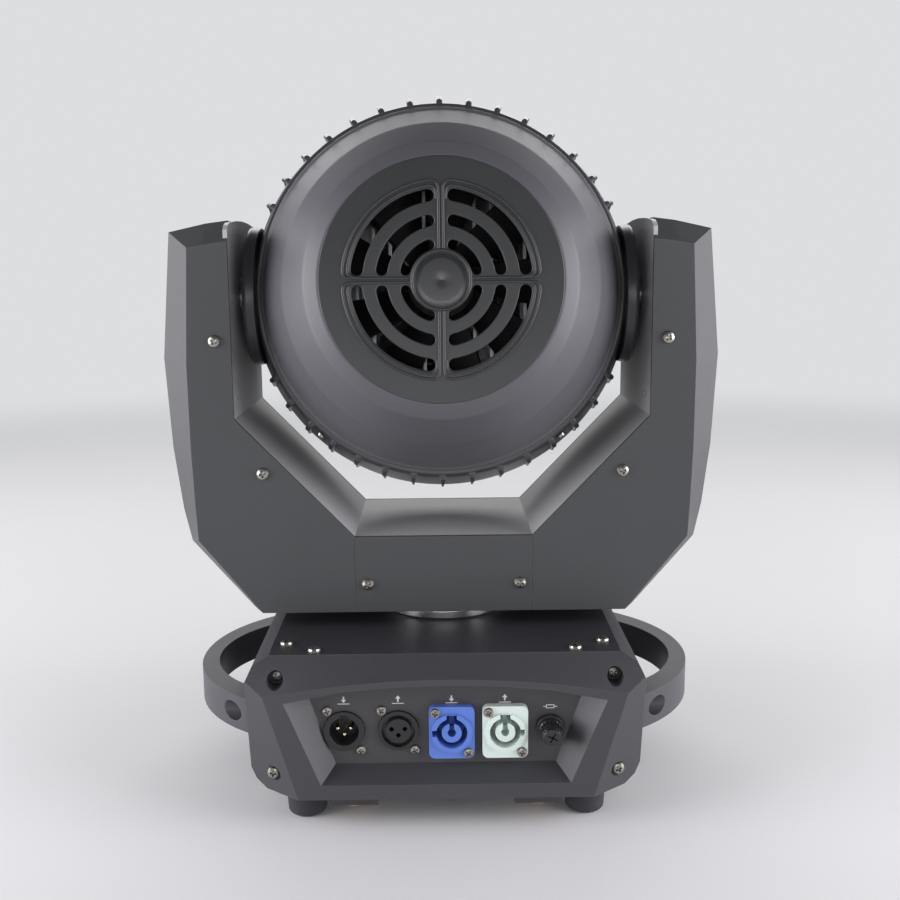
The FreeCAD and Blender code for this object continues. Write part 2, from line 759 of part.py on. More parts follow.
def pan_bearing():
    bore = shaft_r + run_gap
    ring = lathe("PanBearing", "z", [(bore, 107.6), (26.0, 107.6), (26.0, 116.4), (bore, 116.4)])
    groove = cut(cyl("z", 0, 0, 115.8, 24.0, 2), [cyl("z", 0, 0, 115, 19.6, 4)])
    keep(cut(ring, [groove]), "pan_bearing")


def tilt_drive():
    motor = fuse([
        box(-arm_inner, -motor_half, tilt_motor_z - motor_half,
            -arm_inner + 38, motor_half, tilt_motor_z + motor_half),
        cyl("x", -arm_inner - 2, 0, tilt_motor_z, 10.9, 3)])
    bore = cyl("x", -arm_inner - 4, 0, tilt_motor_z, motor_bore_r, 18)
    keep(cut(motor, [bore]), "tilt_motor")
    pinion = toothed(tilt_pinion_r.value, 0, *TILT_DRIVE, teeth=15)
    shaft = Part.makeCylinder(motor_shaft_r, 14.0, Vector(0, 0, 114.4))
    keep(static(pinion.fuse(shaft)), "tilt_motor_pulley",
         at(0, 0, tilt_motor_z.value, Z_TO_MINUS_X))
    distance = tilt_z.value - tilt_motor_z.value
    loop = belt(tilt_pulley_r.value, tilt_pinion_r.value, distance, 129.6, 137.2)
    # belt X runs down from the tilt axis, belt Z runs to -X
    keep(static(loop), "tilt_belt", Placement(FreeCAD.Matrix(
        0, 0, -1, 0,
        0, -1, 0, 0,
        -1, 0, 0, tilt_z.value,
        0, 0, 0, 1)))
    pulley = toothed(tilt_pulley_r.value, trunnion_r, *TILT_DRIVE, teeth=75)
    keep(static(pulley), "tilt_pulley", HEAD.multiply(at(0, 0, 0, Z_TO_MINUS_X)))


def tilt_bearings():
    rings = []
    for sx in SIGNS:
        x = on_side(sx, arm_inner, arm_inner + 4.5)[0]
        rings.append(cut(cyl("x", x, 0, tilt_z, 18.0, 4.5),
                         [cyl("x", x - 2, 0, tilt_z, trunnion_r + run_gap, 12)]))
    keep(group(rings), "tilt_bearings")


# ---------------------------------------------------------------- yoke
strip_end_z = 346.0
strip_outer_x = arm_inner + frame_thick
strip_outer_z = diagonal_top - 1.0
strip_bottom = bar_top - frame_thick
strip_half_y = yoke_face - cover_thick
cover_edge_x = bar_half_x + 0.2     # where an arm cover starts beside the crossbar cover
cover_screw_r = 1.6
ARM_SCREWS = ((107.5, 196.0), (132.9, 275.0))   # x, z
BAR_SCREW = (46.3, 127.1)                       # x, z

# Bent strip of the frame in (x, z): inner half line, outer half line.
STRIP_INNER = [(arm_inner, strip_end_z), (arm_inner, diagonal_top), (bar_half_x, bar_top)]
STRIP_OUTER = [(bar_half_x + 1.1, strip_bottom), (strip_outer_x, strip_outer_z),
               (strip_outer_x, strip_end_z)]
STRIP = STRIP_INNER + mirrored(STRIP_INNER, -1) + symmetric(STRIP_OUTER)
# Crowned trimming line of the strip ends in (y, z), closed above.
STRIP_ENDS = [
    (-53, 338.0), (-50, 341.0), (-44, 343.2), (-22, 345.0), (0, 345.6), (22, 345.0),
    (44, 343.2), (50, 341.0), (53, 338.0), (60, 338), (60, 360), (-60, 360), (-60, 338)]
WEB = [(80, 113.6), (82, 113.6), (82, 183.5), (80, 181.4)]     # x, z

# Arm cover outlines in (x, z), right-hand side: outside and cavity, each where the
# chamfer starts and at the front or rear face.
ARM_WIDE = [
    (cover_edge_x, yoke_bottom), (118.0, yoke_bottom), (155.4, 151.0), (159.8, 171.5),
    (164.4, 209.0), (167.3, 264.0), (161.0, 338.3), (139.0, 343.2), (arm_inner, 345.2),
    (arm_inner, diagonal_top), (cover_edge_x, bar_top)]
ARM_FACE = [
    (cover_edge_x, 109.5), (110.5, 109.5), (147.4, 155.2), (148.5, 176.0), (149.7, 211.0),
    (150.0, 260.0), (146.8, 329.0), (138.0, 330.6), (arm_inner, 332.4),
    (arm_inner, diagonal_top), (cover_edge_x, bar_top)]
CAVITY_WIDE = [
    (bar_half_x - 5, 110.5), (116.4, 110.5), (152.6, 152.4), (156.8, 172.0), (161.4, 209.2),
    (164.3, 264.0), (158.2, 335.8), (138.8, 340.2), (arm_inner - 4, 341.9),
    (arm_inner - 4, diagonal_top + 4), (bar_half_x - 5, bar_top + 4)]
CAVITY_FACE = [
    (bar_half_x - 5, 112.0), (109.3, 112.0), (144.8, 156.2), (145.7, 176.0), (146.8, 211.0),
    (147.0, 260.0), (144.0, 326.4), (137.6, 327.6), (arm_inner - 4, 329.4),
    (arm_inner - 4, diagonal_top + 4), (bar_half_x - 5, bar_top + 4)]
# Room for the strip inside an arm cover.
STRIP_CLEARANCE = [
    (arm_inner - 6, 347.0), (arm_inner - 6, diagonal_top + 8), (bar_half_x - 8, bar_top + 8),
    (bar_half_x - 8, strip_bottom), (bar_half_x + 1.1, strip_bottom),
    (strip_outer_x, strip_outer_z), (strip_outer_x, 347.0)]


def yoke_frame():
    strip = prism("YokeStrip", "y", -strip_half_y, strip_half_y, STRIP)
    trim = prism("StripEnds", "x", -140, 140, STRIP_ENDS)
    parts = [strip,
             box(-82, -45, 111.4, 82, 45, 114.4),
             prism("WebRight", "y", -45, 45, WEB),
             prism("WebLeft", "y", -45, 45, mirrored(WEB, -1)),
             box(29, -22, 127.4, 80, 22, 129.4),
             box(-strip_outer_x, -24, 136, -arm_inner, 24, diagonal_top + 2)]
    tools = [trim,
             cyl("z", 0, 0, 105, 26.0, 12),
             cyl("z", pan_motor_x, 0, 120, 11.0, 12),
             cyl("x", -arm_inner - 5, 0, tilt_motor_z, 11.0, 12)]
    for sx in SIGNS:
        x = sx * arm_inner - 6
        tools.append(cyl("x", x, 0, tilt_z, 18.0, 12))
        for y in (-38, -30):
            tools.append(cyl("x", x, y, 240, 1.9, 12))
    keep(cut(fuse(parts), tools), "yoke_frame")


def arm_cover(side, sx, end, sy):
    body = new_body("Arm")
    add_pad(body, "y", *on_side(sy, 0, yoke_chamfer), mirrored(ARM_WIDE, sx))
    loft(body, sy * yoke_chamfer, mirrored(ARM_WIDE, sx), sy * yoke_face, mirrored(ARM_FACE, sx))
    cavity = new_body("ArmCavity")
    add_pad(cavity, "y", *on_side(sy, -5, yoke_chamfer), mirrored(CAVITY_WIDE, sx))
    loft(cavity, sy * yoke_chamfer, mirrored(CAVITY_WIDE, sx),
         sy * strip_half_y, mirrored(CAVITY_FACE, sx))
    clearance = prism("StripClear", "y", -strip_half_y, strip_half_y,
                      mirrored(STRIP_CLEARANCE, sx))
    screws = [side_cyl_y(sy, sx * x, z, cover_screw_r, 45, 60) for x, z in ARM_SCREWS]
    keep(cut(body, [cavity, clearance] + screws), "arm_cover_%s_%s" % (side, end))


def crossbar_cover(end, sy):
    half_x = bar_half_x + 0.1

    def outline(bottom):
        return [(-half_x, bottom), (half_x, bottom), (half_x, bar_top), (-half_x, bar_top)]

    body = new_body("Bar")
    add_pad(body, "y", *on_side(sy, 0, yoke_chamfer), outline(yoke_bottom))
    loft(body, sy * yoke_chamfer, outline(yoke_bottom), sy * yoke_face, outline(109.5))
    tools = [box(-bar_half_x - 2, -strip_half_y, 110.5, bar_half_x + 2, strip_half_y, bar_top + 4),
             cyl("z", 0, 0, 100, 27.5, 20)]
    x, z = BAR_SCREW
    tools += [side_cyl_y(sy, sx * x, z, cover_screw_r, 45, 60) for sx in SIGNS]
    keep(cut(body, tools), "crossbar_cover_" + end)


# ---------------------------------------------------------------- head
# Stations run along the head's axis from its centre, positive towards the fan grille (-Y).
fan_post = 52.5                 # x and z of the fan's corner posts
CORNER_POSTS = [(sx * fan_post, sz * fan_post) for sx, sz in CORNERS]
GRILLE_RINGS = ((43.7, 50.5), (30.2, 36.5), (17.8, 23.2))   # inner, outer radius of a slot
LENS_RINGS = ((6, 1, 0), (12, 2, 0), (18, 3, 0.5))          # lenses, ring number, phase
zoom_screw_r = 2.5
carriage_bore_r = zoom_screw_r + run_gap


def station(s):
    return -expr(s)


def head_lathe(name, points):
    """Turned solid about the head's axis: points are (radius, station) pairs."""
    return lathe(name, "y", [(radius, station(s)) for radius, s in points])


def head_cyl(s, radius, length, x=0, z=0):
    """Cylinder starting at a station and running towards the lenses."""
    return cyl("y", x, station(s), z, radius, length)


def lens_positions():
    places = []
    for count, ring, phase in LENS_RINGS:
        for i in range(count):
            angle = 2 * math.pi * (i + phase) / count
            radius = ring * ring_pitch.value
            places.append((radius * math.sin(angle), radius * math.cos(angle)))
    return places


LENS_PLACES = lens_positions()  # x, z


def head_rear_shell():
    shell = head_lathe("RearShell", [
        (0, disc_station), (disc_r, disc_station), (disc_r + 1.2, disc_station - 0.6),
        (77.0, 83.0), (92.0, 64.0), (rim_r, rim_station), (rim_r + 1.8, 31.5),
        (rim_r - 0.8, 31.5), (rim_r - 2.2, 33.6), (89.6, 62.6), (75.4, 80.8),
        (67.6, disc_station - 3), (0, disc_station - 3)])
    slots = [cut(head_cyl(disc_station + 2, outer, 8), [head_cyl(disc_station + 3, inner, 10)])
             for inner, outer in GRILLE_RINGS]
    # the cross stays solid between the slot quadrants
    y0, y1 = station(disc_station + 5), station(disc_station - 9)
    cross = [y_block(0, 0, 4.2, 60, y0, y1), y_block(0, 0, 60, 4.2, y0, y1)]
    keep(cut(shell, [cut(fuse(slots), cross)]), "head_rear_shell", HEAD)


def grille_badge():
    keep(head_lathe("Badge", [
        (0, disc_station + 1.6), (14.2, disc_station + 1.6), (15.4, disc_station + 1.0),
        (16.6, disc_station + 2.2), (17.4, disc_station + 2.2), (17.4, disc_station),
        (0, disc_station)]), "grille_badge", HEAD)


def rib_shapes():
    """Rounded ribs all round the drum except where the two side pods stand."""
    half_width, tip = rib_width.value / 2, rib_tip_r.value
    root = drum_r.value - 1.5
    side = [(-29.0, root), (-24.5, tip), (50.0, tip), (57.0, root)]     # y, z
    rib = extruded([Vector(-half_width, y, z) for y, z in side], Vector(rib_width.value, 0, 0))
    tip_edges = [e for e in rib.Edges
                 if abs(e.Vertexes[0].Z - tip) < 1e-6
                 and abs(e.Vertexes[-1].Z - tip) < 1e-6 and e.Length > 20]
    rib = rib.makeFillet(half_width - 0.1, tip_edges)
    pod_clear = math.degrees(math.asin((pod_r.value + 3) / drum_r.value))
    ribs = []
    count = int(rib_positions.value)
    for i in range(count):
        angle = 360.0 / count * i
        from_pod = min(abs(((angle - pod + 180) % 360) - 180) for pod in (90, 270))
        if from_pod > pod_clear:
            turned = rib.copy()
            turned.rotate(Vector(0, 0, 0), Vector(0, 1, 0), angle)
            ribs.append(turned)
    return ribs


def drum_housing():
    drum = head_lathe("Drum", [
        (drum_bore_r, 30.5), (rim_r + 4.5, 30.5), (drum_r, 25.0), (drum_r, -52),
        (drum_r - 1.5, -lens_end), (drum_bore_r, -lens_end)])
    pods = [side_cyl_x(sx, 0, 0, pod_r, 100.0, pod_face) for sx in SIGNS]
    solid = fuse([drum] + pods + [static(rib, "Rib") for rib in rib_shapes()])
    trunnion_holes = [cyl("x", sx * 112 - 12, 0, 0, trunnion_r, 24) for sx in SIGNS]
    bore = head_cyl(60, drum_bore_r, 130)
    keep(cut(solid, [bore] + trunnion_holes), "drum_housing", HEAD)


def tilt_trunnions():
    profile = [(8.0, 112.6), (trunnion_r, 112.6), (trunnion_r, 118.5), (24.0, 118.5),
               (24.0, 121.5), (trunnion_r, 121.5), (trunnion_r, 142.0), (8.0, 142.0)]
    turned = [lathe("Trunnion", "x", [(radius, x * sx) for radius, x in profile])
              for sx in SIGNS]
    keep(group(turned), "tilt_trunnions", HEAD)


def heatsink():
    parts = [head_cyl(12, drum_bore_r - 0.1, 4)]
    for i in range(-8, 9):
        x = i * 10.0
        half_z = math.sqrt(88.0 ** 2 - x ** 2)
        parts.append(y_block(x, 0, 1.0, half_z, station(38), station(11.5)))
    parts += [head_cyl(44.5, 4.0, 33, x, z) for x, z in CORNER_POSTS]
    holes = [head_cyl(20, 4.0, 30, z=s * zoom_r) for s in SIGNS]
    keep(cut(fuse(parts), holes), "heatsink", HEAD)


def led_board():
    chips = [y_block(x, z, 2.8, 2.8, station(6.5), station(4.6)) for x, z in LENS_PLACES]
    keep(fuse([head_cyl(8, 97.0, 1.6)] + chips), "led_board", HEAD)


def fan_frame():
    surround = cut(y_block(0, 0, fan_half, fan_half, station(69.5), station(44.5)),
                   [head_cyl(75, 57.5, 40)])
    parts = [surround, head_cyl(48.0, 20.0, 3.5), head_cyl(64, 3.0, 17)]
    for angle in (45, 135, 225, 315):
        arm = box(18, station(47.0), -2.5, 58.5, station(44.5), 2.5)
        turn = at(0, 0, 0, Rotation(Vector(0, 1, 0), angle))
        arm.Placement = turn.multiply(arm.Placement)
        parts.append(arm)
    holes = [head_cyl(75, 2.2, 40, x, z) for x, z in CORNER_POSTS]
    keep(common(cut(fuse(parts), holes), head_cyl(80, 81.5, 50)), "fan_frame", HEAD)


def fan_rotor():
    """Nine swept, twisted blades on a hub."""
    sections = ((18.0, 42.0, 9.0), (37.0, 34.0, 12.0), (56.0, 27.0, 15.0))
    half_thick = 0.8
    axis = Vector(0, 1, 0)
    rotor = Part.makeCylinder(19.0, 17.0, Vector(0, -68.0, 0), axis)
    for i in range(9):
        wires = []
        for radius, twist, half_chord in sections:
            angle = math.radians(twist)
            sweep = (radius - 18.0) * 0.22
            points = []
            for su, sv in ((-1, -1), (1, -1), (1, 1), (-1, 1)):
                u, v = su * half_chord, sv * half_thick
                x = u * math.cos(angle) - v * math.sin(angle) + sweep
                y = u * math.sin(angle) + v * math.cos(angle)
                points.append(Vector(x, -58.5 + y, radius))
            wires.append(closed(points))
        blade = Part.makeLoft(wires, True, False)
        blade.rotate(Vector(0, 0, 0), axis, 40.0 * i)
        rotor = rotor.fuse(blade)
    rotor = rotor.cut(Part.makeCylinder(3.05, 15.2, Vector(0, -65.2, 0), axis))
    rotor = rotor.common(Part.makeCylinder(56.5, 19.5, Vector(0, -68.0, 0), axis))
    keep(static(rotor.removeSplitter()), "fan_rotor", HEAD)


def front_bezel():
    keep(head_lathe("Bezel", [
        (98.0, -lens_end), (drum_r - 1.8, -lens_end), (drum_r - 3.0, -66.0),
        (100.0, -66.0), (98.0, -64.8)]), "front_bezel", HEAD)


def lens_carriage():
    holes = [cyl("y", x, 20, z, lens_r - 0.8, 12) for x, z in LENS_PLACES]
    holes += [cyl("y", 0, 20, s * zoom_r, carriage_bore_r, 12) for s in SIGNS]
    plate = cut(cyl("y", 0, 24.0, 0, 108.5, 3.0), holes)
    bosses = [cut(cyl("y", 0, 18.5, s * zoom_r, 5.2, 8),
                  [cyl("y", 0, 12, s * zoom_r, carriage_bore_r, 20)]) for s in SIGNS]
    keep(fuse([plate] + bosses), "lens_carriage", HEAD)


def lenses():
    profile = [(0, 22.5), (6.0, 22.5), (lens_r - 0.9, 27.0), (lens_r, 27.0), (lens_r, 29.0),
               (10.6, 32.2), (6.8, 34.6), (0, 35.6)]        # radius, y
    master = lathe("Lens", "y", profile)
    doc.recompute()
    copies = []
    for x, z in LENS_PLACES:
        lens = master.Shape.copy()
        lens.translate(Vector(x, 0, z))
        copies.append(lens)
    keep(static(Part.makeCompound(copies)), "lenses", HEAD)


def zoom_drive():
    motors = [cut(head_cyl(28.0, 9.8, 16, z=s * zoom_r), [head_cyl(20, 2.55, 12, z=s * zoom_r)])
              for s in SIGNS]
    keep(group(motors), "zoom_motors", HEAD)
    for name, s in (("upper", 1), ("lower", -1)):
        place = HEAD.multiply(at(0, -19.0, s * zoom_r.value, TURN["y"]))
        keep(cyl("y", 0, 0, 0, zoom_screw_r, 75.0), "zoom_screw_" + name, place)


# ---------------------------------------------------------------- fasteners
FACE = {
    "-y": Rotation(Vector(1, 0, 0), 90),
    "+y": Rotation(Vector(1, 0, 0), -90),
    "+z": Rotation(),
    "+x": Rotation(Vector(0, 1, 0), 90),
    "-x": Rotation(Vector(0, 1, 0), -90),
}


def pan_head(radius, height, shank_r, length):
    """Cross-recess pan-head screw: head above z = 0, plain shank below."""
    profile = [(0, 0), (radius, 0), (radius, height * 0.35), (radius * 0.86, height * 0.72),
               (radius * 0.5, height * 0.95), (0, height)]  # radius, z
    outline = closed([Vector(r, 0, z) for r, z in profile])
    head = Part.Face(outline).revolve(Vector(0, 0, 0), Vector(0, 0, 1), 360)
    screw = head.fuse(Part.makeCylinder(shank_r, length, Vector(0, 0, -length)))
    narrow, reach, floor = radius * 0.17, radius * 0.56, height * 0.42
    cross = [Part.makeBox(2 * a, 2 * b, height, Vector(-a, -b, floor))
             for a, b in ((reach, narrow), (narrow, reach))]
    return screw.cut(cross).removeSplitter()


cover_screw = pan_head(radius=3.7, height=2.6, shank_r=1.55, length=7.0)
connector_screw = pan_head(radius=2.9, height=1.9, shank_r=1.5, length=4.6)
handle_screw = pan_head(radius=4.4, height=3.0, shank_r=2.0, length=8.0)
cap_screw = pan_head(radius=3.4, height=2.4, shank_r=2.0, length=8.0)


def screw_at(screw, position, face, spin):
    """Copy of a screw facing out of a face, its cross recess turned by spin degrees."""
    placed = screw.copy()
    placed.Placement = at(*position, FACE[face].multiply(Rotation(Vector(0, 0, 1), spin)))
    return placed


def facing(sign, axis):
    return ("+" if sign > 0 else "-") + axis


def base_screws():
    screws = []
    for name, x in CONNECTOR_X.items():
        y = -panel_face.value - (power_flange if name.startswith("power") else 0.0)
        for s in SIGNS:
            position = (s * flange_screw_x + x, y, connector_z.value - flange_screw_z * s)
            screws.append(screw_at(connector_screw, position, "-y", 20 + 31 * s + x))
    for sx, sy in CORNERS:
        for k, (x, z, seat) in enumerate(CAP_SCREWS):
            screws.append(screw_at(cap_screw, (sx * x, sy * seat, z), facing(sy, "y"),
                                   25 - 15 * k + 22 * sx))
        for x, y in TOP_SCREWS:
            screws.append(screw_at(cover_screw, (sx * x, sy * y, base_top.value), "+z",
                                   x + 15 * sx))
        position = (sx * handle_screw_seat, sy * handle_screw_y, handle_screw_z)
        screws.append(screw_at(handle_screw, position, facing(sx, "x"), 30))
    keep(static(Part.makeCompound(screws)), "base_screws")


def yoke_screws():
    screws = []
    for sx, sy in CORNERS:
        for k, (x, z) in enumerate(ARM_SCREWS + (BAR_SCREW,)):
            screws.append(screw_at(cover_screw, (sx * x, sy * yoke_face.value, z),
                                   facing(sy, "y"), 12 + 37 * k * sx))
    keep(static(Part.makeCompound(screws)), "yoke_screws")


# ---------------------------------------------------------------- build
def build_base():
    side_covers()
    base_tray()
    top_plate()
    rear_end_cap()
    front_end_cap()
    display_and_buttons()
    connector_panel()
    data_in_connector()
    data_out_connector()
    power_connector("power_in", key_side=-1)
    power_connector("power_out", key_side=1)
    fuse_holder()
    handles()
    rubber_feet()
    bracket_mounts()
    power_supply()
    main_board()


def build_yoke():
    pan_hub()
    pan_drive()
    pan_bearing()
    yoke_frame()
    for side, sx in SIDES:
        for end, sy in ENDS:
            arm_cover(side, sx, end, sy)
    for end, sy in ENDS:
        crossbar_cover(end, sy)
    tilt_drive()
    tilt_bearings()


def build_head():
    head_rear_shell()
    grille_badge()
    drum_housing()
    tilt_trunnions()
    heatsink()
    led_board()
    fan_frame()
    fan_rotor()
    front_bezel()
    lens_carriage()
    lenses()
    zoom_drive()


def export():
    doc.recompute()
    bad = [o.Label for o in doc.Objects if "Invalid" in o.State or "Error" in o.State]
    if bad:
        raise RuntimeError("failed objects: %s" % bad)
    for name in sorted(nodes):
        shape = nodes[name].Shape
        if shape.isNull() or not shape.isValid() or not shape.Solids or shape.Volume <= 0:
            raise RuntimeError("bad shape: " + name)
        shape.exportStep("parts/%s.step" % name)


build_base()
build_yoke()
build_head()
base_screws()
yoke_screws()
export()
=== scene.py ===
"""A moving-head stage light: a base on rubber feet, a yoke that pans, and a head that tilts.

World frame: metres, +Z up, X across, floor at z = 0. The connector panel of the base and the
round fan grille of the head face -Y, towards the camera. The head turns about an X axis at TILT_Z.
The made pieces are drawn in millimetres and scaled by MM.
"""
import math

import bmesh
import bpy
from mathutils import Matrix, Vector


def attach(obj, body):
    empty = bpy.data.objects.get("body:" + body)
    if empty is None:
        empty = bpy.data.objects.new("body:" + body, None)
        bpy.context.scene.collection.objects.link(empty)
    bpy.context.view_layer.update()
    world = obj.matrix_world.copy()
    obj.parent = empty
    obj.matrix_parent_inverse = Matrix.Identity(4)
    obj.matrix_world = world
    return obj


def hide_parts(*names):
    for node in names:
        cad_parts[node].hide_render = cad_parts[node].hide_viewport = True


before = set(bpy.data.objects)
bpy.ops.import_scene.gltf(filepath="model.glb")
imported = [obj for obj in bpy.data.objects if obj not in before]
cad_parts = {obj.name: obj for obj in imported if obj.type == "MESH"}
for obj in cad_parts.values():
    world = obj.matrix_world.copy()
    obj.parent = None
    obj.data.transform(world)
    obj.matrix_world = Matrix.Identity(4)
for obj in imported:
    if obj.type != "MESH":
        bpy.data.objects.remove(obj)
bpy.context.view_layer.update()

MM = 0.001
TILT_Z = 0.299                  # height of the tilt axis, metres
TILT_REST = math.radians(7.0)   # how far the -Y end of the head tips up

# Head frame: origin on the tilt axis, -Y along the axis of the head
HEAD = Matrix.Translation((0, 0, TILT_Z)) @ Matrix.Rotation(-TILT_REST, 4, "X")
# Takes a sheet drawn in x, y and stands it up facing -Y
UPRIGHT = Matrix(((1, 0, 0, 0), (0, 0, -1, 0), (0, 1, 0, 0), (0, 0, 0, 1)))

# Places on the connector panel, millimetres
CONNECTORS = ((-58.2, -1), (-27.2, 1), (3.4, -1), (33.9, 1))  # x, arrow direction in z
DATA_IN_Z = 55.1
FUSE_X, FUSE_Z = 59.9, 55.7


# ------------------------------------------------------------------ shader helpers
class Shader:
    """A new material with a Principled surface, object coordinates and helpers to add nodes."""

    def __init__(self, name):
        self.material = bpy.data.materials.new(name)
        self.material.use_nodes = True
        self.tree = self.material.node_tree
        self.tree.nodes.clear()
        self.output = self.node("OutputMaterial")
        self.surface = self.node("BsdfPrincipled")
        self.feed(self.surface.outputs[0], self.output.inputs[0])
        self.coords = self.node("TexCoord").outputs["Object"]

    def node(self, kind):
        return self.tree.nodes.new("ShaderNode" + kind)

    def feed(self, value, socket):
        """Puts a number or an RGB colour in a socket, or links another socket to it."""
        if isinstance(value, (int, float)):
            socket.default_value = value
        elif isinstance(value, (tuple, list)):
            socket.default_value = (*value, 1)
        else:
            self.tree.links.new(value, socket)

    def set(self, name, value):
        self.feed(value, self.surface.inputs[name])

    def noise(self, scale, detail=4.0, rough=0.55, distort=0.0, vector=None):
        node = self.node("TexNoise")
        node.inputs["Scale"].default_value = scale
        node.inputs["Detail"].default_value = detail
        node.inputs["Roughness"].default_value = rough
        node.inputs["Distortion"].default_value = distort
        self.feed(vector or self.coords, node.inputs["Vector"])
        return node.outputs["Fac"]

    def patches(self, scale, detail, rough, low, high):
        """Noise pushed through a grey ramp; low and high are (position, grey level)."""
        fac = self.noise(scale, detail, rough)
        node = self.node("ValToRGB")
        for element, (position, level) in zip(node.color_ramp.elements, (low, high)):
            element.position = position
            element.color = (level, level, level, 1)
        self.feed(fac, node.inputs["Fac"])
        to_grey = self.node("RGBToBW")
        self.feed(node.outputs["Color"], to_grey.inputs[0])
        return to_grey.outputs[0]

    def math(self, operation, *values, clamp=False):
        node = self.node("Math")
        node.operation = operation
        node.use_clamp = clamp
        for value, socket in zip(values, node.inputs):
            self.feed(value, socket)
        return node.outputs[0]

    def mix(self, factor, first, second):
        node = self.node("Mix")
        node.data_type = "RGBA"
        node.clamp_factor = True
        self.feed(factor, node.inputs[0])
        self.feed(first, node.inputs[6])
        self.feed(second, node.inputs[7])
        return node.outputs[2]

    def edge_mask(self, radius, gain):
        """1 near convex edges, 0 on flats."""
        rounded = self.node("Bevel")
        rounded.samples = 4
        rounded.inputs["Radius"].default_value = radius
        geometry = self.node("NewGeometry")
        dot = self.node("VectorMath")
        dot.operation = "DOT_PRODUCT"
        self.feed(rounded.outputs[0], dot.inputs[0])
        self.feed(geometry.outputs["Normal"], dot.inputs[1])
        turned_away = self.math("SUBTRACT", 1.0, dot.outputs["Value"])
        return self.math("MULTIPLY", turned_away, gain, clamp=True)

    def drift(self, fac, amount, base):
        """base + amount * fac"""
        return self.math("ADD", self.math("MULTIPLY", fac, amount), base)

    def bump(self, height, strength, distance):
        node = self.node("Bump")
        node.inputs["Strength"].default_value = strength
        node.inputs["Distance"].default_value = distance
        self.feed(height, node.inputs["Height"])
        self.set("Normal", node.outputs[0])


def tone(colour, factor, lift=0.0):
    return [min(1, x * factor + lift) for x in colour]


# ------------------------------------------------------------------ kinds of material
MATERIALS = {}


def moulded(name, colour, rough=0.5, grain=1400.0, depth=0.00006, strength=0.35, vary=0.12,
            wear_and_highlight=0.25, metallic=0.0, spec=0.5, coat=0.0, dust=0.05):
    """Moulded or powder-coated surface.

    grain, depth, strength: scale, height in metres and weight of the fine bumps
    vary: slow tone drift; dust: pale specks; wear_and_highlight: lighter convex edges, partly
    rubbed and worn, partly a painted edge highlight
    """
    shader = Shader(name)
    fine = shader.noise(grain, detail=3.0, rough=0.6)
    medium = shader.noise(grain * 0.21, rough=0.6)
    slow = shader.noise(14.0, detail=5.0, distort=0.4)
    base = shader.mix(slow, tone(colour, 1 - vary), tone(colour, 1 + vary))
    specks = shader.patches(420.0, detail=2.0, rough=0.7, low=(0.62, 0), high=(0.78, 1))
    base = shader.mix(shader.math("MULTIPLY", specks, dust), base, tone(colour, 1, lift=0.22))
    # Lighter convex edges: partly rubbed and worn paint, partly a painted highlight along edges and
    # crests.
    if wear_and_highlight > 0:
        edges = shader.edge_mask(radius=0.0012, gain=6.0)
        rubbed_and_lit_edges = shader.patches(60.0, detail=5.0, rough=0.7, low=(0.35, 0.15), high=(0.7, 1))
        rubbed_and_lit_edges = shader.math("MULTIPLY", edges, rubbed_and_lit_edges)
        rubbed_and_lit_edges = shader.math("MULTIPLY", rubbed_and_lit_edges, wear_and_highlight, clamp=True)
        base = shader.mix(rubbed_and_lit_edges, base, tone(colour, 2.0, lift=0.06))
    shader.set("Base Color", base)
    roughness = shader.drift(slow, amount=0.12, base=rough - 0.06)
    roughness = shader.math("ADD", roughness, shader.math("MULTIPLY", medium, 0.06))
    shader.set("Roughness", roughness)
    height = shader.math("ADD", fine, shader.math("MULTIPLY", medium, 0.6))
    shader.bump(height, strength, depth)
    shader.set("Metallic", metallic)
    shader.set("Specular IOR Level", spec)
    shader.set("Coat Weight", coat)
    shader.set("Coat Roughness", 0.25)
    MATERIALS[name] = shader.material


def turned(name, colour, rough, axis="z", centre=(0, 0, 0), pitch=2600.0, aniso=0.5):
    """Lathe-turned metal: fine rings (scale = pitch) round an axis, and light stains."""
    shader = Shader(name)
    mapping = shader.node("Mapping")
    mapping.inputs["Location"].default_value = tuple(-x for x in centre)
    shader.feed(shader.coords, mapping.inputs["Vector"])
    split = shader.node("SeparateXYZ")
    shader.feed(mapping.outputs[0], split.inputs[0])
    along = "xyz".index(axis)
    squares = []
    for i in range(3):
        if i != along:
            across = split.outputs[i]
            squares.append(shader.math("MULTIPLY", across, across))
    radius = shader.math("SQRT", shader.math("ADD", *squares))
    ring_coords = shader.node("CombineXYZ")
    shader.feed(radius, ring_coords.inputs[0])
    shader.feed(split.outputs[along], ring_coords.inputs[1])
    rings = shader.noise(pitch, detail=2.0, rough=0.5, vector=ring_coords.outputs[0])
    stain = shader.noise(70.0, detail=5.0, rough=0.6, distort=0.3)
    base = shader.mix(stain, tone(colour, 0.8), tone(colour, 1.08))
    base = shader.mix(shader.math("MULTIPLY", rings, 0.25), base, tone(colour, 0.6))
    shader.set("Base Color", base)
    shader.set("Roughness", shader.drift(stain, amount=0.14, base=rough - 0.05))
    shader.bump(rings, strength=0.25, distance=0.00003)
    shader.set("Metallic", 1.0)
    shader.set("Anisotropic", aniso)
    MATERIALS[name] = shader.material


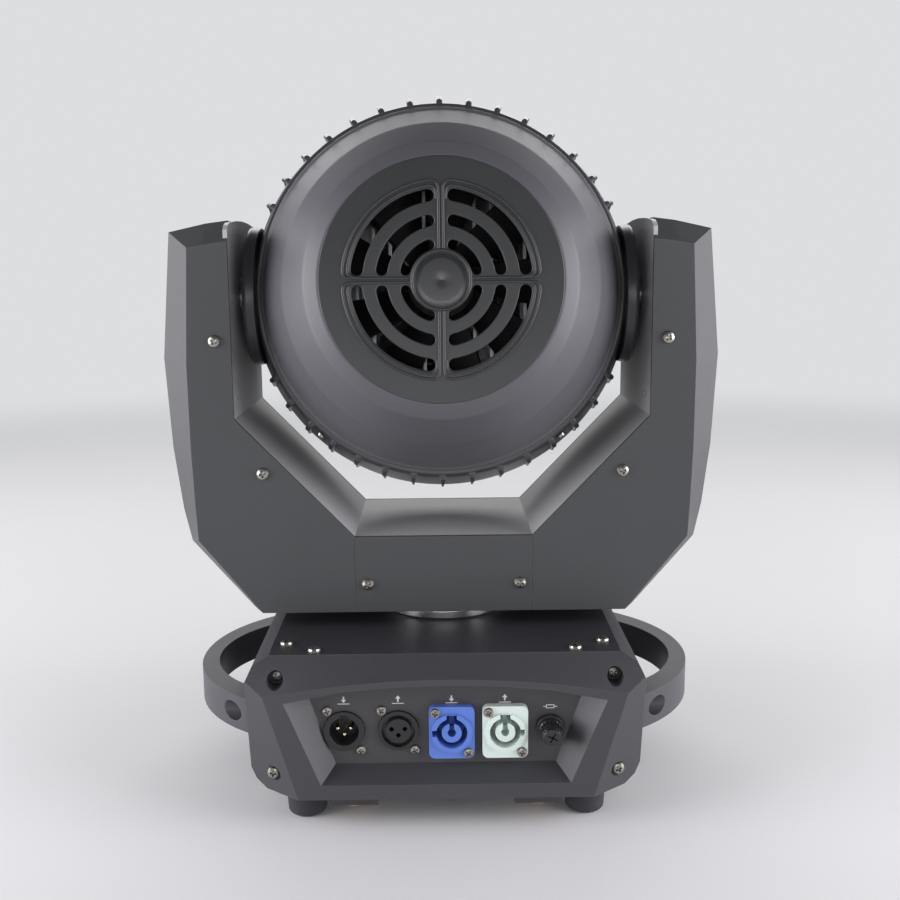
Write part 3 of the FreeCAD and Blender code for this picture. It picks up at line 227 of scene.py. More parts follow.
def plated(name, colour, rough):
    """Plated metal with faint pits, and painted shade in the recesses: darker, duller, less
    metallic colour wherever ambient occlusion finds a hollow.
    """
    shader = Shader(name)
    mottle = shader.noise(180.0, detail=3.0, rough=0.5)
    pits = shader.noise(2600.0, detail=2.0, rough=0.5)
    base = shader.mix(mottle, tone(colour, 0.82), colour)
    # Painted shade: ambient occlusion darkens and dulls the colour in the cross recesses and other
    # hollows, where shade falls.
    occlusion = shader.node("AmbientOcclusion")
    occlusion.samples = 6
    occlusion.inputs["Distance"].default_value = 0.0014
    hidden = shader.math("SUBTRACT", 1.0, occlusion.outputs["AO"])
    painted_recess_shade = shader.math("MULTIPLY", hidden, 1.36, clamp=True)
    base = shader.mix(painted_recess_shade, base, tone(colour, 0.05))
    shader.set("Base Color", base)
    shader.set("Roughness", shader.drift(mottle, amount=0.14, base=rough - 0.05))
    shader.bump(pits, strength=0.10, distance=0.00001)
    shader.set("Metallic", shader.math("SUBTRACT", 1.0, painted_recess_shade))
    MATERIALS[name] = shader.material


def clear(name, colour, rough=0.04, tint=0.0):
    """Clear plastic or glass, slightly uneven."""
    shader = Shader(name)
    uneven = shader.noise(90.0)
    shader.set("Base Color", shader.mix(uneven, tone(colour, 1 - 0.04 - tint), colour))
    shader.set("Roughness", shader.drift(uneven, amount=0.05, base=rough))
    waves = shader.noise(40.0, detail=2.0, rough=0.4)
    shader.bump(waves, strength=0.06, distance=0.0001)
    shader.set("Transmission Weight", 1.0)
    shader.set("IOR", 1.49)
    MATERIALS[name] = shader.material


# ------------------------------------------------------------------ the materials
moulded("base_plastic", (0.042, 0.043, 0.048), rough=0.42, grain=1500, depth=0.00007, strength=0.45)
moulded("base_steel", (0.030, 0.031, 0.035), rough=0.42, grain=1100, depth=0.00005, strength=0.30,
        wear_and_highlight=0.15)
moulded("panel_steel", (0.048, 0.046, 0.050), grain=1800, depth=0.00004, strength=0.3, wear_and_highlight=0.1)
moulded("handle_plastic", (0.050, 0.051, 0.060), rough=0.40, grain=1500, strength=0.4)
moulded("foot_rubber", (0.030, 0.031, 0.036), rough=0.62, grain=900, depth=0.00008, strength=0.4,
        spec=0.35, dust=0.14)
moulded("belt_rubber", (0.012, 0.012, 0.013), rough=0.7, grain=1600, depth=0.00005, spec=0.3,
        wear_and_highlight=0.0)
plated("brass_fitting", (0.78, 0.42, 0.22), rough=0.26)
moulded("connector_black", (0.012, 0.012, 0.013), rough=0.30, grain=900, depth=0.00002,
        strength=0.2, wear_and_highlight=0.1, coat=0.15, dust=0.02)
moulded("connector_blue", (0.095, 0.190, 0.58), rough=0.34, grain=900, depth=0.00002,
        strength=0.2, vary=0.08, wear_and_highlight=0.1, dust=0.01)
moulded("connector_white", (0.66, 0.76, 0.71), rough=0.36, grain=900, depth=0.00002,
        strength=0.2, vary=0.04, wear_and_highlight=0.0, dust=0.0)
plated("screw_nickel", (0.44, 0.42, 0.38), rough=0.28)
moulded("board_green", (0.012, 0.10, 0.04), rough=0.3, grain=600, depth=0.00003, wear_and_highlight=0.0, coat=0.3)
moulded("button_rubber", (0.055, 0.056, 0.060), rough=0.55, depth=0.00005, wear_and_highlight=0.2)
moulded("supply_case", (0.50, 0.51, 0.52), rough=0.38, grain=700, depth=0.00003, metallic=0.9,
        wear_and_highlight=0.1, dust=0.0)
turned("hub_aluminium", (0.80, 0.81, 0.83), rough=0.20)
turned("pulley_aluminium", (0.72, 0.73, 0.75), rough=0.28)
turned("bearing_steel", (0.58, 0.58, 0.58), rough=0.24, axis="x", centre=(0, 0, TILT_Z))
moulded("motor_steel", (0.028, 0.028, 0.030), rough=0.36, grain=900, depth=0.00003, wear_and_highlight=0.3)
moulded("yoke_frame_paint", (0.42, 0.42, 0.425), rough=0.38, grain=1100, vary=0.06, wear_and_highlight=0.2)
moulded("yoke_plastic", (0.042, 0.0445, 0.047), rough=0.40, grain=1500, depth=0.00007,
        strength=0.45)
moulded("head_shell", (0.078, 0.077, 0.086), rough=0.42, grain=1700, depth=0.00004,
        strength=0.25, vary=0.06)
moulded("grille_face", (0.022, 0.0235, 0.025), rough=0.33, grain=1700, depth=0.00004,
        strength=0.25, vary=0.05, wear_and_highlight=0.5)
moulded("gloss_black", (0.014, 0.014, 0.015), rough=0.16, grain=700, depth=0.00002,
        strength=0.12, wear_and_highlight=0.1, coat=0.6, dust=0.01)
moulded("badge", (0.018, 0.019, 0.021), rough=0.22, grain=700, depth=0.00004, coat=0.5)
# Here the strong edge lightening is mostly a painted highlight on the rib tips and crests, not worn
# paint.
moulded("drum_paint", (0.036, 0.037, 0.042), rough=0.30, grain=900, wear_and_highlight=0.7)
turned("heatsink_aluminium", (0.62, 0.63, 0.65), rough=0.34, axis="y", centre=(0, 0, TILT_Z),
       pitch=900.0, aniso=0.2)
moulded("led_board_white", (0.70, 0.70, 0.67), rough=0.4, grain=500, depth=0.00002, wear_and_highlight=0.0,
        dust=0.0)
moulded("fan_plastic", (0.008, 0.008, 0.009), rough=0.62, grain=900, depth=0.00003, wear_and_highlight=0.1,
        spec=0.3)
clear("lens_clear", (0.96, 0.98, 1.0))
clear("display_glass", (0.55, 0.60, 0.68), rough=0.05, tint=0.1)
moulded("print_white", (0.62, 0.62, 0.60), rough=0.55, grain=900, depth=0.00002, vary=0.1,
        wear_and_highlight=0.0, dust=0.0)
plated("contact_metal", (0.75, 0.68, 0.50), rough=0.18)

# ------------------------------------------------------------------ finish of the loaded parts
BUTTONS = "button_menu button_up button_down button_enter"
ARM_COVERS = ("arm_cover_left_rear arm_cover_left_front "
              "arm_cover_right_rear arm_cover_right_front")
CROSSBAR_COVERS = "crossbar_cover_rear crossbar_cover_front"
SIDE_COVERS = "side_cover_left side_cover_right"
END_CAPS = "rear_end_cap front_end_cap"
HANDLES = "handle_left handle_right"
DATA_CONNECTORS = "data_in_connector data_out_connector"

PARTS_BY_MATERIAL = {
    "base_steel": "base_tray top_plate bracket_rails",
    "base_plastic": f"{SIDE_COVERS} {END_CAPS}",
    "panel_steel": "connector_panel",
    "handle_plastic": HANDLES,
    "foot_rubber": "rubber_feet",
    "brass_fitting": "quarter_turn_receptacles",
    "connector_black": f"{DATA_CONNECTORS} fuse_holder fuse_cap",
    "connector_blue": "power_in_connector",
    "connector_white": "power_out_connector",
    "screw_nickel": "base_screws yoke_screws",
    "display_glass": "display_window",
    "board_green": "display_board main_board",
    "supply_case": "power_supply",
    "hub_aluminium": "pan_hub",
    "pulley_aluminium": "pan_pulley pan_motor_pulley tilt_motor_pulley tilt_pulley",
    "button_rubber": BUTTONS,
    "yoke_frame_paint": "yoke_frame",
    "yoke_plastic": f"{ARM_COVERS} {CROSSBAR_COVERS}",
    "motor_steel": "pan_motor tilt_motor zoom_motors",
    "belt_rubber": "pan_belt tilt_belt",
    "bearing_steel": ("tilt_bearings pan_bearing tilt_trunnions "
                      "zoom_screw_upper zoom_screw_lower"),
    "head_shell": "head_rear_shell",
    "badge": "grille_badge",
    "drum_paint": "drum_housing front_bezel lens_carriage",
    "heatsink_aluminium": "heatsink",
    "led_board_white": "led_board",
    "fan_plastic": "fan_frame fan_rotor",
    "lens_clear": "lenses",
}
PARTS_BY_BEVEL = {  # millimetres of rounding on the hard edges
    0.25: "connector_panel",
    0.3: "heatsink",
    0.35: DATA_CONNECTORS,
    0.4: f"fuse_holder display_window {BUTTONS} yoke_frame pan_hub lens_carriage",
    0.5: ("top_plate power_in_connector power_out_connector fuse_cap head_rear_shell "
          "drum_housing fan_frame"),
    0.6: f"bracket_rails {CROSSBAR_COVERS}",
    0.8: "front_bezel",
    0.9: "rubber_feet",
    1.0: ARM_COVERS,
    1.2: SIDE_COVERS,
    2.0: END_CAPS,
    2.2: HANDLES,
}


def by_part(groups):
    return {part: key for key, parts in groups.items() for part in parts.split()}


def paint(obj, material):
    obj.data.materials.clear()
    obj.data.materials.append(MATERIALS[material])


def smooth(obj, angle):
    """Smooth shading, kept sharp where faces meet at more than angle degrees."""
    for face in obj.data.polygons:
        face.use_smooth = True
    obj.data.set_sharp_from_angle(angle=math.radians(angle))


def weight_normals(obj, name):
    modifier = obj.modifiers.new(name, "WEIGHTED_NORMAL")
    modifier.weight = 100
    modifier.keep_sharp = True


def round_edges(obj, width):
    """Cleans the triangulated surface, then bevels its hard edges by width millimetres."""
    weld = obj.modifiers.new("weld", "WELD")
    weld.merge_threshold = 0.000002
    flats = obj.modifiers.new("flats", "DECIMATE")
    flats.decimate_type = "DISSOLVE"
    flats.angle_limit = math.radians(0.6)
    bevel = obj.modifiers.new("bevel", "BEVEL")
    bevel.width = width * MM
    bevel.segments = 3
    bevel.limit_method = "ANGLE"
    bevel.angle_limit = math.radians(28)
    bevel.harden_normals = False
    bevel.miter_outer = "MITER_ARC"
    bevel.use_clamp_overlap = True
    bevel.loop_slide = True
    weight_normals(obj, "shade")


def finish_parts():
    materials = by_part(PARTS_BY_MATERIAL)
    bevels = by_part(PARTS_BY_BEVEL)
    for name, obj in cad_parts.items():
        paint(obj, materials[name])
        smooth(obj, 24)
        if name in bevels:
            round_edges(obj, bevels[name])


finish_parts()


# ------------------------------------------------------------------ mesh helpers
def put(name, mesh, material, body, sharp, replaces=()):
    """Adds a finished piece that moves with a body and may replace loaded parts."""
    obj = link(bpy.data.objects.new(name, mesh))
    paint(obj, material)
    smooth(obj, sharp)
    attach(obj, body)
    if replaces:
        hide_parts(*replaces)
    return obj


def link(obj):
    bpy.context.scene.collection.objects.link(obj)
    return obj


def mesh_from(bm, name):
    mesh = bpy.data.meshes.new(name)
    bm.to_mesh(mesh)
    bm.free()
    return mesh


def evaluated_mesh(obj):
    bpy.context.view_layer.update()
    graph = bpy.context.evaluated_depsgraph_get()
    return bpy.data.meshes.new_from_object(obj.evaluated_get(graph))


def absorb(bm, mesh):
    """Adds a mesh to bm and deletes it."""
    bm.from_mesh(mesh)
    bpy.data.meshes.remove(mesh)


def soften(points, radius, steps, closed=False):
    """Rounds the corners of a polyline with short quadratic curves."""
    out = []
    count = len(points)
    for i, point in enumerate(points):
        if not closed and i in (0, count - 1):
            out.append(tuple(point))
            continue
        before, after = Vector(points[i - 1]), Vector(points[(i + 1) % count])
        point = Vector(point)
        reach_before = min(radius, (before - point).length * 0.45)
        reach_after = min(radius, (after - point).length * 0.45)
        start = point + (before - point).normalized() * reach_before
        end = point + (after - point).normalized() * reach_after
        for k in range(steps + 1):
            t = k / steps
            out.append(tuple(start * (1 - t) ** 2 + point * 2 * t * (1 - t) + end * t * t))
    return out


def arc(radius, start, end, steps):
    angles = [start + (end - start) * i / steps for i in range(steps + 1)]
    return [(radius * math.cos(a), radius * math.sin(a)) for a in angles]


def revolve(profile, steps, matrix, reshape=None, closed=True):
    """Turns a profile of (station, radius) round Y; stations run along -Y, millimetres.

    Angles start at +Z and go towards +X. reshape(angle, station, radius) alters the radius.
    """
    bm = bmesh.new()
    rows = []
    for j in range(steps):
        angle = 2 * math.pi * j / steps
        row = []
        for station, radius in profile:
            r = reshape(angle, station, radius) if reshape else radius
            place = Vector((r * math.sin(angle) * MM, -station * MM, r * math.cos(angle) * MM))
            row.append(bm.verts.new(matrix @ place))
        rows.append(row)
    count = len(profile)
    for j, row in enumerate(rows):
        following = rows[(j + 1) % steps]
        for i in range(count if closed else count - 1):
            k = (i + 1) % count
            bm.faces.new((row[i], row[k], following[k], following[i]))
    bmesh.ops.remove_doubles(bm, verts=bm.verts, dist=1e-7)
    bmesh.ops.recalc_face_normals(bm, faces=bm.faces)
    return mesh_from(bm, "lathe")


def sheet(outlines, matrix, extrude=0.0, bevel=0.0, rings=0, filled=True, offset=0.0):
    """Closed outlines (with holes) given thickness, or tubes along open paths. Millimetres."""
    curve = bpy.data.curves.new("c", "CURVE")
    curve.dimensions = "2D" if filled else "3D"
    if filled:
        curve.fill_mode = "BOTH"
    curve.extrude = extrude * MM
    curve.bevel_depth = bevel * MM
    curve.bevel_resolution = rings
    curve.offset = offset * MM
    for outline in outlines:
        spline = curve.splines.new("POLY")
        spline.points.add(len(outline) - 1)
        for point, (x, y) in zip(spline.points, outline):
            point.co = (x * MM, y * MM, 0, 1)
        spline.use_cyclic_u = filled
    obj = link(bpy.data.objects.new("c", curve))
    mesh = evaluated_mesh(obj)
    bpy.data.objects.remove(obj)
    bpy.data.curves.remove(curve)
    bm = bmesh.new()
    bm.from_mesh(mesh)
    bmesh.ops.remove_doubles(bm, verts=bm.verts, dist=2e-7)
    bmesh.ops.transform(bm, matrix=matrix, verts=bm.verts)
    bm.to_mesh(mesh)
    bm.free()
    return mesh


def shift_y(y):
    return Matrix.Translation((0, y * MM, 0))


# ------------------------------------------------------------------ shell of the head
SHELL_PROFILE = [  # station, radius: outer terraces, then back along the inside
    (86.9, 66.2), (87.8, 68.4), (83.0, 77.0), (64.0, 92.0), (35.4, 106.6), (34.4, 108.2),
    (33.0, 109.0), (31.0, 109.0), (30.6, 107.8), (33.8, 104.6), (62.6, 89.6), (80.8, 75.4),
    (84.6, 66.0),
]


def build_shell():
    mesh = revolve(soften(SHELL_PROFILE, 1.5, 4), 256, HEAD)
    put("head_shell_turned", mesh, "head_shell", "head", 40, ["head_rear_shell"])


# ------------------------------------------------------------------ drum of the head
FLAT_X = 117.6          # half width between the flattened sides
FLAT_MIN_RADIUS = 112.6  # the inner wall, below this, stays round
WALL_PROFILE = [  # station, radius
    (29.6, 108.8), (29.9, 111.6), (25.0, 113.3), (-18.0, 121.0), (-50.0, 121.0),
    (-58.0, 118.2), (-62.0, 115.2), (-62.0, 112.7), (26.0, 112.5),
]
RIB_PITCH = 9           # degrees
RIB_CLEARANCE = 24      # degrees either side of the tilt axis left without ribs
RIB_FOOT_RADIUS = 110.4
RIB_PROUD = 0.8         # height of the ribs above the flattened sides
RIB_STATIONS = [  # station, crest radius, half width
    (29.2, 110.6, 1.8), (28.2, 114.8, 1.75), (21.0, 118.4, 1.6), (13.0, 118.6, 1.0),
    (-18.0, 122.7, 0.8), (-47.0, 122.7, 0.8), (-53.0, 119.0, 0.8),
]
POD_PROFILE = [  # distance out along the tilt axis, radius round it
    (111.0, 12.2), (111.0, 42.2), (115.9, 43.0), (117.4, 42.6), (118.4, 41.4), (118.5, 40.0),
    (118.5, 22.0), (117.7, 21.2), (117.7, 13.2), (117.0, 12.2),
]


def flat_limit(angle):
    """Radius at which the flattened side is met."""
    return FLAT_X / max(abs(math.sin(angle)), 1e-6)


def flatten_sides(angle, _station, radius):
    return min(radius, flat_limit(angle)) if radius > FLAT_MIN_RADIUS else radius


def add_rib(bm, angle):
    turn = HEAD @ Matrix.Rotation(angle, 4, "Y")
    limit = flat_limit(angle) + RIB_PROUD

    def vertex(x, station, radius):
        return bm.verts.new(turn @ Vector((x * MM, -station * MM, radius * MM)))

    rows = []
    for station, crest, half in RIB_STATIONS:
        crest = min(crest, limit)
        rise = half * 0.8
        top = []
        for k in range(9):  # rounded crest across the rib
            a = math.pi * k / 8
            top.append(vertex(-half * math.cos(a), station, crest - rise + rise * math.sin(a)))
        foot_x = half * 1.15
        foot_a = vertex(-foot_x, station, RIB_FOOT_RADIUS)
        foot_b = vertex(foot_x, station, RIB_FOOT_RADIUS)
        rows.append([foot_a, *top, foot_b])
    for row, following in zip(rows, rows[1:]):
        for k in range(len(row) - 1):
            bm.faces.new((row[k], row[k + 1], following[k + 1], following[k]))
    bm.faces.new(rows[0][::-1])
    bm.faces.new(rows[-1])


def build_drum():
    """Tapered wall flattened at the sides, low ribs, and a pod round each tilt bearing."""
    bm = bmesh.new()
    absorb(bm, revolve(soften(WALL_PROFILE, 1.6, 4), 320, HEAD, flatten_sides))
    for degrees in range(0, 360, RIB_PITCH):
        if abs(degrees % 180 - 90) >= RIB_CLEARANCE:
            add_rib(bm, math.radians(degrees))
    pod = soften(POD_PROFILE, 0.5, 3, closed=True)
    for side in (-1, 1):
        sideways = HEAD @ Matrix.Rotation(math.radians(90 * side), 4, "Z")
        absorb(bm, revolve(pod, 128, sideways))
    bmesh.ops.recalc_face_normals(bm, faces=bm.faces)
    put("drum_ribbed", mesh_from(bm, "drum"), "drum_paint", "head", 38, ["drum_housing"])


# ------------------------------------------------------------------ screws in the drum wall
DRUM_SCREWS = ((-139.5, 24.0, 113.9), (140.5, 24.0, 113.9))  # degrees from top, station, radius
SCREW_SINK = 0.5
SCREW_LEAN = -10        # degrees, roughly along the taper of the wall
SCREW_RADIUS = 2.9
SCREW_TOP, SCREW_DOME = 2.2, 0.9
SCREW_SKIRT = -0.3
RECESS_HALF_WIDTH, RECESS_REACH, RECESS_DEPTH = 0.36, 1.5, 1.0
SCREW_RINGS, SCREW_STEPS = 18, 64


def screw_height(u, v):
    """Height of the domed head with its cross recess at u, v."""
    dome = SCREW_TOP - SCREW_DOME * (math.hypot(u, v) / SCREW_RADIUS) ** 2
    near, far = sorted((abs(u), abs(v)))
    outside = max(near - RECESS_HALF_WIDTH, far - RECESS_REACH)
    return dome - RECESS_DEPTH * min(1.0, max(0.0, 0.5 - outside * 4.0))


def build_drum_screws():
    bm = bmesh.new()
    for degrees, station, radius in DRUM_SCREWS:
        seat = (HEAD @ Matrix.Rotation(math.radians(degrees), 4, "Y")
                @ Matrix.Translation((0, -station * MM, (radius - SCREW_SINK) * MM))
                @ Matrix.Rotation(math.radians(SCREW_LEAN), 4, "X"))

        def ring(rho, height=None):
            row = []
            for k in range(SCREW_STEPS):
                angle = 2 * math.pi * k / SCREW_STEPS
                u, v = rho * math.cos(angle), rho * math.sin(angle)
                h = screw_height(u, v) if height is None else height
                row.append(bm.verts.new(seat @ Vector((u * MM, v * MM, h * MM))))
            return row

        rows = [ring(SCREW_RADIUS * i / SCREW_RINGS) for i in range(SCREW_RINGS + 1)]
        rows.append(ring(SCREW_RADIUS, SCREW_SKIRT))
        for row, outer in zip(rows, rows[1:]):
            for k in range(SCREW_STEPS):
                n = (k + 1) % SCREW_STEPS
                bm.faces.new((row[k], outer[k], outer[n], row[n]))
    bmesh.ops.remove_doubles(bm, verts=bm.verts, dist=1e-7)
    bmesh.ops.recalc_face_normals(bm, faces=bm.faces)
    put("drum_screws", mesh_from(bm, "drum_screws"), "screw_nickel", "head", 35)


# ------------------------------------------------------------------ fan grille
SPOKE_X, SPOKE_Z = 3.7, 2.8    # half widths of the upright and the level spoke
PLATE_RADIUS = 68.3
PLATE_BEVEL = 0.65
SLOTS = ((43.7, 50.5), (30.2, 36.5), (17.6, 23.2))  # inner, outer radius
QUADRANTS = [(x, z) for x in (-1, 1) for z in (-1, 1)]
OUTER_BEAD, INNER_BEAD = 54.9, 52.1   # radii of the two bead arcs
BEAD_END = 17.2                # the outer bead runs in to this distance
# Legs of the beads beside a spoke: distance from the leg's reference line, inset from the arc
OUTER_LEG = [(0, OUTER_BEAD - BEAD_END), (0, 5.6), (0.25, 3.0), (1.3, 1.2), (3.2, 0.35)]
INNER_LEG_UPRIGHT = [(-1.25, 8.0), (-1.2, 4.2), (-0.4, 1.6), (1.6, 0.35)]
INNER_LEG_LEVEL = [(-1.1, 8.0), (-1.1, 4.2), (-0.4, 1.6), (1.6, 0.35)]
HUB_PROFILE = [(87.2, 15.0), (88.7, 15.4), (89.2, 16.2), (88.8, 17.1), (87.2, 17.6)]
BADGE_PROFILE = [  # station, radius
    (87.0, 0.001), (88.6, 0.001), (88.6, 6.0), (88.6, 12.0), (88.2, 14.5), (87.8, 15.0),
    (87.0, 15.2),
]


def slot_end(middle, half, at, start):
    """Half circle closing a slot at an angle, without its two end points."""
    x, z = middle * math.cos(at), middle * math.sin(at)
    angles = [start + i / 10 * math.pi for i in range(1, 10)]
    return [(x + half * math.cos(a), z + half * math.sin(a)) for a in angles]


def slot_path(inner, outer, side_x, side_z):
    """Arc slot with rounded ends in one quadrant; all quadrants wind the same way."""
    middle, half = (inner + outer) / 2, (outer - inner) / 2
    low = math.asin((SPOKE_Z + half) / middle)
    high = math.acos((SPOKE_X + half) / middle)
    points = arc(outer, low, high, 28)
    points += slot_end(middle, half, high, high)
    points += arc(inner, high, low, 28)
    points += slot_end(middle, half, low, low + math.pi)
    points = [(side_x * x, side_z * z) for x, z in points]
    return points[::-1] if side_x * side_z > 0 else points


def bead_path(radius, edge_x, edge_z, turn, upright_leg, level_leg):
    """Down one spoke, round the quadrant and back along the other; turn trims the arc."""
    start = math.acos((edge_x + turn) / radius)
    end = math.asin((edge_z + turn) / radius)
    upright = [(edge_x + out, radius - inset) for out, inset in upright_leg]
    level = [(radius - inset, edge_z + out) for out, inset in reversed(level_leg)]
    return soften(upright + arc(radius, start, end, 40) + level, 1.2, 3)


def build_grille():
    outlines = [arc(PLATE_RADIUS, 0, 2 * math.pi, 256)[:-1]]
    for side_x, side_z in QUADRANTS:
        outlines += [slot_path(inner, outer, side_x, side_z) for inner, outer in SLOTS]
    mesh = sheet(outlines, HEAD @ shift_y(-86.6) @ UPRIGHT, extrude=0.75, bevel=PLATE_BEVEL,
                 rings=4, offset=-PLATE_BEVEL)
    plate = put("head_grille_plate", mesh, "grille_face", "head", 40)
    weight_normals(plate, "wn")

    paths = (
        bead_path(OUTER_BEAD, 1.25, 1.15, 5.6, OUTER_LEG, OUTER_LEG),
        bead_path(INNER_BEAD, SPOKE_X, SPOKE_Z, 4.2, INNER_LEG_UPRIGHT, INNER_LEG_LEVEL),
    )
    beads = [[(side_x * x, side_z * z) for x, z in path]
             for side_x, side_z in QUADRANTS for path in paths]
    mesh = sheet(beads, HEAD @ shift_y(-88.1) @ UPRIGHT, bevel=0.85, rings=4, filled=False)
    put("head_grille_beads", mesh, "grille_face", "head", 60)

    mesh = revolve(soften(HUB_PROFILE, 0.5, 4), 96, HEAD)
    put("head_grille_hub", mesh, "grille_face", "head", 50)
    mesh = revolve(soften(BADGE_PROFILE, 0.3, 3), 96, HEAD)
    put("badge_blank", mesh, "badge", "head", 50, ["grille_badge"])


# ------------------------------------------------------------------ fuse cap
CAP_PROFILE = [  # station, radius
    (106.2, 0.001), (106.2, 6.6), (109.0, 6.9), (109.9, 6.9), (110.4, 6.4), (117.9, 5.9),
    (118.6, 5.3), (120.2, 5.0), (120.5, 4.7), (120.5, 0.001),
]
FLUTES, FLUTE_DEPTH = 20, 0.075     # depth as a share of the radius
FLUTE_START, FLUTE_END = 110.6, 118.2
SLOT_REACH, SLOT_HALF_WIDTH = 3.0, 0.45
FUSE_RING_PROFILE = [
    (104.6, 6.3), (104.6, 8.3), (106.9, 8.5), (107.8, 8.2), (108.2, 7.5), (107.6, 7.05),
    (105.4, 7.0),
]


def flute(angle, station, radius):
    if FLUTE_START < station < FLUTE_END:
        return radius * (1.0 - FLUTE_DEPTH * max(0.0, math.cos(FLUTES * angle)))
    return radius


def build_fuse_cap():
    """Fluted, tapering cap with a cross slot, and the ring round it."""
    centre = Matrix.Translation((FUSE_X * MM, 0, FUSE_Z * MM))
    cap_mesh = revolve(soften(CAP_PROFILE, 0.25, 2), 120, centre, flute, closed=False)
    bm = bmesh.new()
    for half_x, half_z in ((SLOT_REACH, SLOT_HALF_WIDTH), (SLOT_HALF_WIDTH, SLOT_REACH)):
        size = Matrix.Diagonal((2 * half_x * MM, 2.4 * MM, 2 * half_z * MM, 1))
        turn = Matrix.Rotation(math.radians(28), 4, "Y")
        bmesh.ops.create_cube(bm, size=1.0, matrix=centre @ shift_y(-120.3) @ turn @ size)
    cross = link(bpy.data.objects.new("cross", mesh_from(bm, "cross")))
    cap = link(bpy.data.objects.new("cap", cap_mesh))
    cut = cap.modifiers.new("b", "BOOLEAN")
    cut.operation = "DIFFERENCE"
    cut.object = cross
    cut.solver = "EXACT"
    cut.use_self = True
    mesh = evaluated_mesh(cap)
    bpy.data.objects.remove(cap)
    bpy.data.objects.remove(cross)
    put("fuse_cap_fluted", mesh, "connector_black", "fuse_plug", 35, ["fuse_cap"])
    mesh = revolve(soften(FUSE_RING_PROFILE, 0.3, 3), 120, centre)
    put("fuse_ring", mesh, "gloss_black", "base", 40)


# ------------------------------------------------------------------ marks on the panel
ARROW_Z, FUSE_MARK_Z = 73.9, 68.3
ARROW = [  # x, distance towards the tip
    (-0.45, -1.7), (0.45, -1.7), (0.45, 0.2), (1.5, 0.2), (0, 2.1), (-1.5, 0.2), (-0.45, 0.2),
]
ARROW_BAR = [(-3.4, -2.9), (3.4, -2.9), (3.4, -2.45), (-3.4, -2.45)]  # x, z from the arrow
FUSE_MARK = [  # x, z
    (-4.0, -0.2), (-2.4, -0.2), (-2.4, -1.1), (2.4, -1.1), (2.4, -0.2), (4.0, -0.2),
    (4.0, 0.2), (2.4, 0.2), (2.4, 1.1), (-2.4, 1.1), (-2.4, 0.2), (-4.0, 0.2),
]
FUSE_MARK_HOLE = [(-2.0, 0.7), (-2.0, -0.7), (2.0, -0.7), (2.0, 0.7)]


def placed(outline, x, z, direction=1):
    return [(x + dx, z + dz * direction) for dx, dz in outline]


def build_marks():
    """An arrow over a bar above each connector, and a fuse symbol above the fuse."""
    marks = []
    for x, direction in CONNECTORS:
        marks.append(placed(ARROW, x, ARROW_Z, direction))
        marks.append(placed(ARROW_BAR, x, ARROW_Z))
    marks.append(placed(FUSE_MARK, FUSE_X, FUSE_MARK_Z))
    marks.append(placed(FUSE_MARK_HOLE, FUSE_X, FUSE_MARK_Z))
    mesh = sheet(marks, shift_y(-105.06) @ UPRIGHT, extrude=0.05)
    put("panel_marks", mesh, "print_white", "base", 30)


# ------------------------------------------------------------------ pins of the data input
PIN_OFFSETS = ((-3.8, 1.2), (3.8, 1.2), (0, -2.5))  # x, z from the connector's centre
PIN_PROFILE = [(89.0, 0.001), (89.0, 1.22), (104.4, 1.22), (105.1, 0.7), (105.3, 0.001)]


def build_pins():
    bm = bmesh.new()
    data_in_x = CONNECTORS[0][0]
    profile = soften(PIN_PROFILE, 0.3, 3)
    for dx, dz in PIN_OFFSETS:
        place = Matrix.Translation(((data_in_x + dx) * MM, 0, (DATA_IN_Z + dz) * MM))
        absorb(bm, revolve(profile, 28, place, closed=False))
    put("data_in_pins", mesh_from(bm, "pins"), "contact_metal", "base", 40)


build_shell()
build_drum()
build_drum_screws()
build_grille()
build_fuse_cap()
build_marks()
build_pins()


# ------------------------------------------------------------------ stage, lights, camera
def build_floor():
    """Pale floor that fades to transparent away from the product."""
    bm = bmesh.new()
    bmesh.ops.create_grid(bm, x_segments=8, y_segments=8, size=6.0)
    floor = link(bpy.data.objects.new("floor", mesh_from(bm, "floor")))
    floor.location = (0, 0, -0.0002)
    shader = Shader("floor")
    mottle = shader.noise(3.0, detail=3.0)
    shader.set("Base Color", shader.mix(mottle, (0.70, 0.70, 0.70), (0.74, 0.74, 0.74)))
    shader.set("Roughness", 0.7)
    distance = shader.node("VectorMath")
    distance.operation = "LENGTH"
    shader.feed(shader.coords, distance.inputs[0])
    fade = shader.node("MapRange")
    fade.interpolation_type = "SMOOTHSTEP"
    fade.inputs["From Min"].default_value = 0.55
    fade.inputs["From Max"].default_value = 2.3
    shader.feed(distance.outputs["Value"], fade.inputs["Value"])
    transparent = shader.node("BsdfTransparent")
    mix = shader.node("MixShader")
    shader.feed(fade.outputs[0], mix.inputs[0])
    shader.feed(shader.surface.outputs[0], mix.inputs[1])
    shader.feed(transparent.outputs[0], mix.inputs[2])
    shader.feed(mix.outputs[0], shader.output.inputs[0])
    floor.data.materials.append(shader.material)


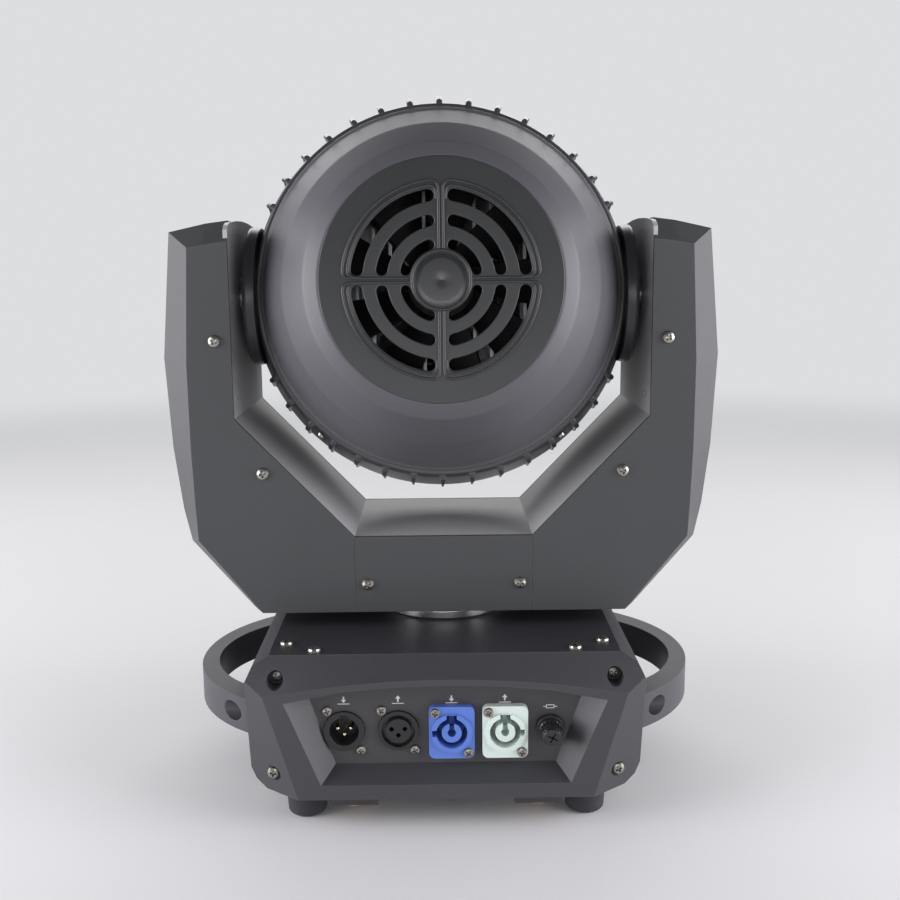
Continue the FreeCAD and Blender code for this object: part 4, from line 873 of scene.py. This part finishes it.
def build_world():
    """Dim light on the product, and a bright backdrop seen only by the camera."""
    world = bpy.data.worlds.new("studio")
    bpy.context.scene.world = world
    world.use_nodes = True
    nodes, links = world.node_tree.nodes, world.node_tree.links
    ambient = nodes["Background"]
    ambient.inputs[0].default_value = (0.86, 0.87, 0.92, 1)
    ambient.inputs[1].default_value = 0.13
    backdrop = nodes.new("ShaderNodeBackground")
    backdrop.inputs[0].default_value = (0.80, 0.81, 0.83, 1)
    backdrop.inputs[1].default_value = 0.90
    light_path = nodes.new("ShaderNodeLightPath")
    mix = nodes.new("ShaderNodeMixShader")
    links.new(light_path.outputs["Is Camera Ray"], mix.inputs[0])
    links.new(ambient.outputs[0], mix.inputs[1])
    links.new(backdrop.outputs[0], mix.inputs[2])
    links.new(mix.outputs[0], nodes["World Output"].inputs[0])


def area_light(name, place, target, size, power, colour=(1, 1, 1)):
    light = bpy.data.lights.new(name, "AREA")
    light.shape = "RECTANGLE"
    light.size, light.size_y = size
    light.energy = power
    light.color = colour
    obj = bpy.data.objects.new(name, light)
    obj.location = place
    aim = Vector(target) - Vector(place)
    obj.rotation_euler = aim.to_track_quat("-Z", "Y").to_euler()
    link(obj)


def build_lights():
    sides = (("left", -1), ("right", 1))
    body = (0, 0, 0.27)
    head = (0, 0, 0.30)
    cool = (0.97, 0.95, 1.0)
    for side, sign in sides:
        area_light("soft_" + side, place=(sign * 1.22, -0.42, 0.36), target=body,
                   size=(1.0, 1.2), power=27, colour=cool)
    for side, sign in sides:
        area_light("back_" + side, place=(sign * 1.30, 0.55, 0.42), target=body,
                   size=(1.0, 1.1), power=6, colour=cool)
    area_light("soft_top_back", place=(0, 1.45, 1.15), target=head, size=(2.2, 0.7), power=16)
    area_light("soft_front", place=(0, -2.1, 0.36), target=head, size=(1.5, 0.6), power=8)


def build_camera():
    """Camera on the -Y side, looking along +Y and slightly down."""
    camera = bpy.data.cameras.new("camera")
    camera.sensor_width = 36.0
    camera.lens = 44.02
    camera.clip_start = 0.01
    obj = bpy.data.objects.new("camera", camera)
    pitch, yaw, roll = 0.1672, 0.0102, -0.0085  # radians: down, towards +X, about the view
    forward = Vector((math.sin(yaw) * math.cos(pitch), math.cos(yaw) * math.cos(pitch),
                      -math.sin(pitch)))
    right = Vector((math.cos(yaw), -math.sin(yaw), 0))
    up = right.cross(forward)
    rolled_right = math.cos(roll) * right + math.sin(roll) * up
    rolled_up = -math.sin(roll) * right + math.cos(roll) * up
    rotation = Matrix((rolled_right, rolled_up, -forward)).transposed()
    place = Vector((-0.00229, -0.70108, 0.31824))
    obj.matrix_world = Matrix.Translation(place) @ rotation.to_4x4()
    link(obj)
    bpy.context.scene.camera = obj


build_floor()
build_world()
build_lights()
build_camera()
bpy.context.scene.view_settings.view_transform = "Standard"
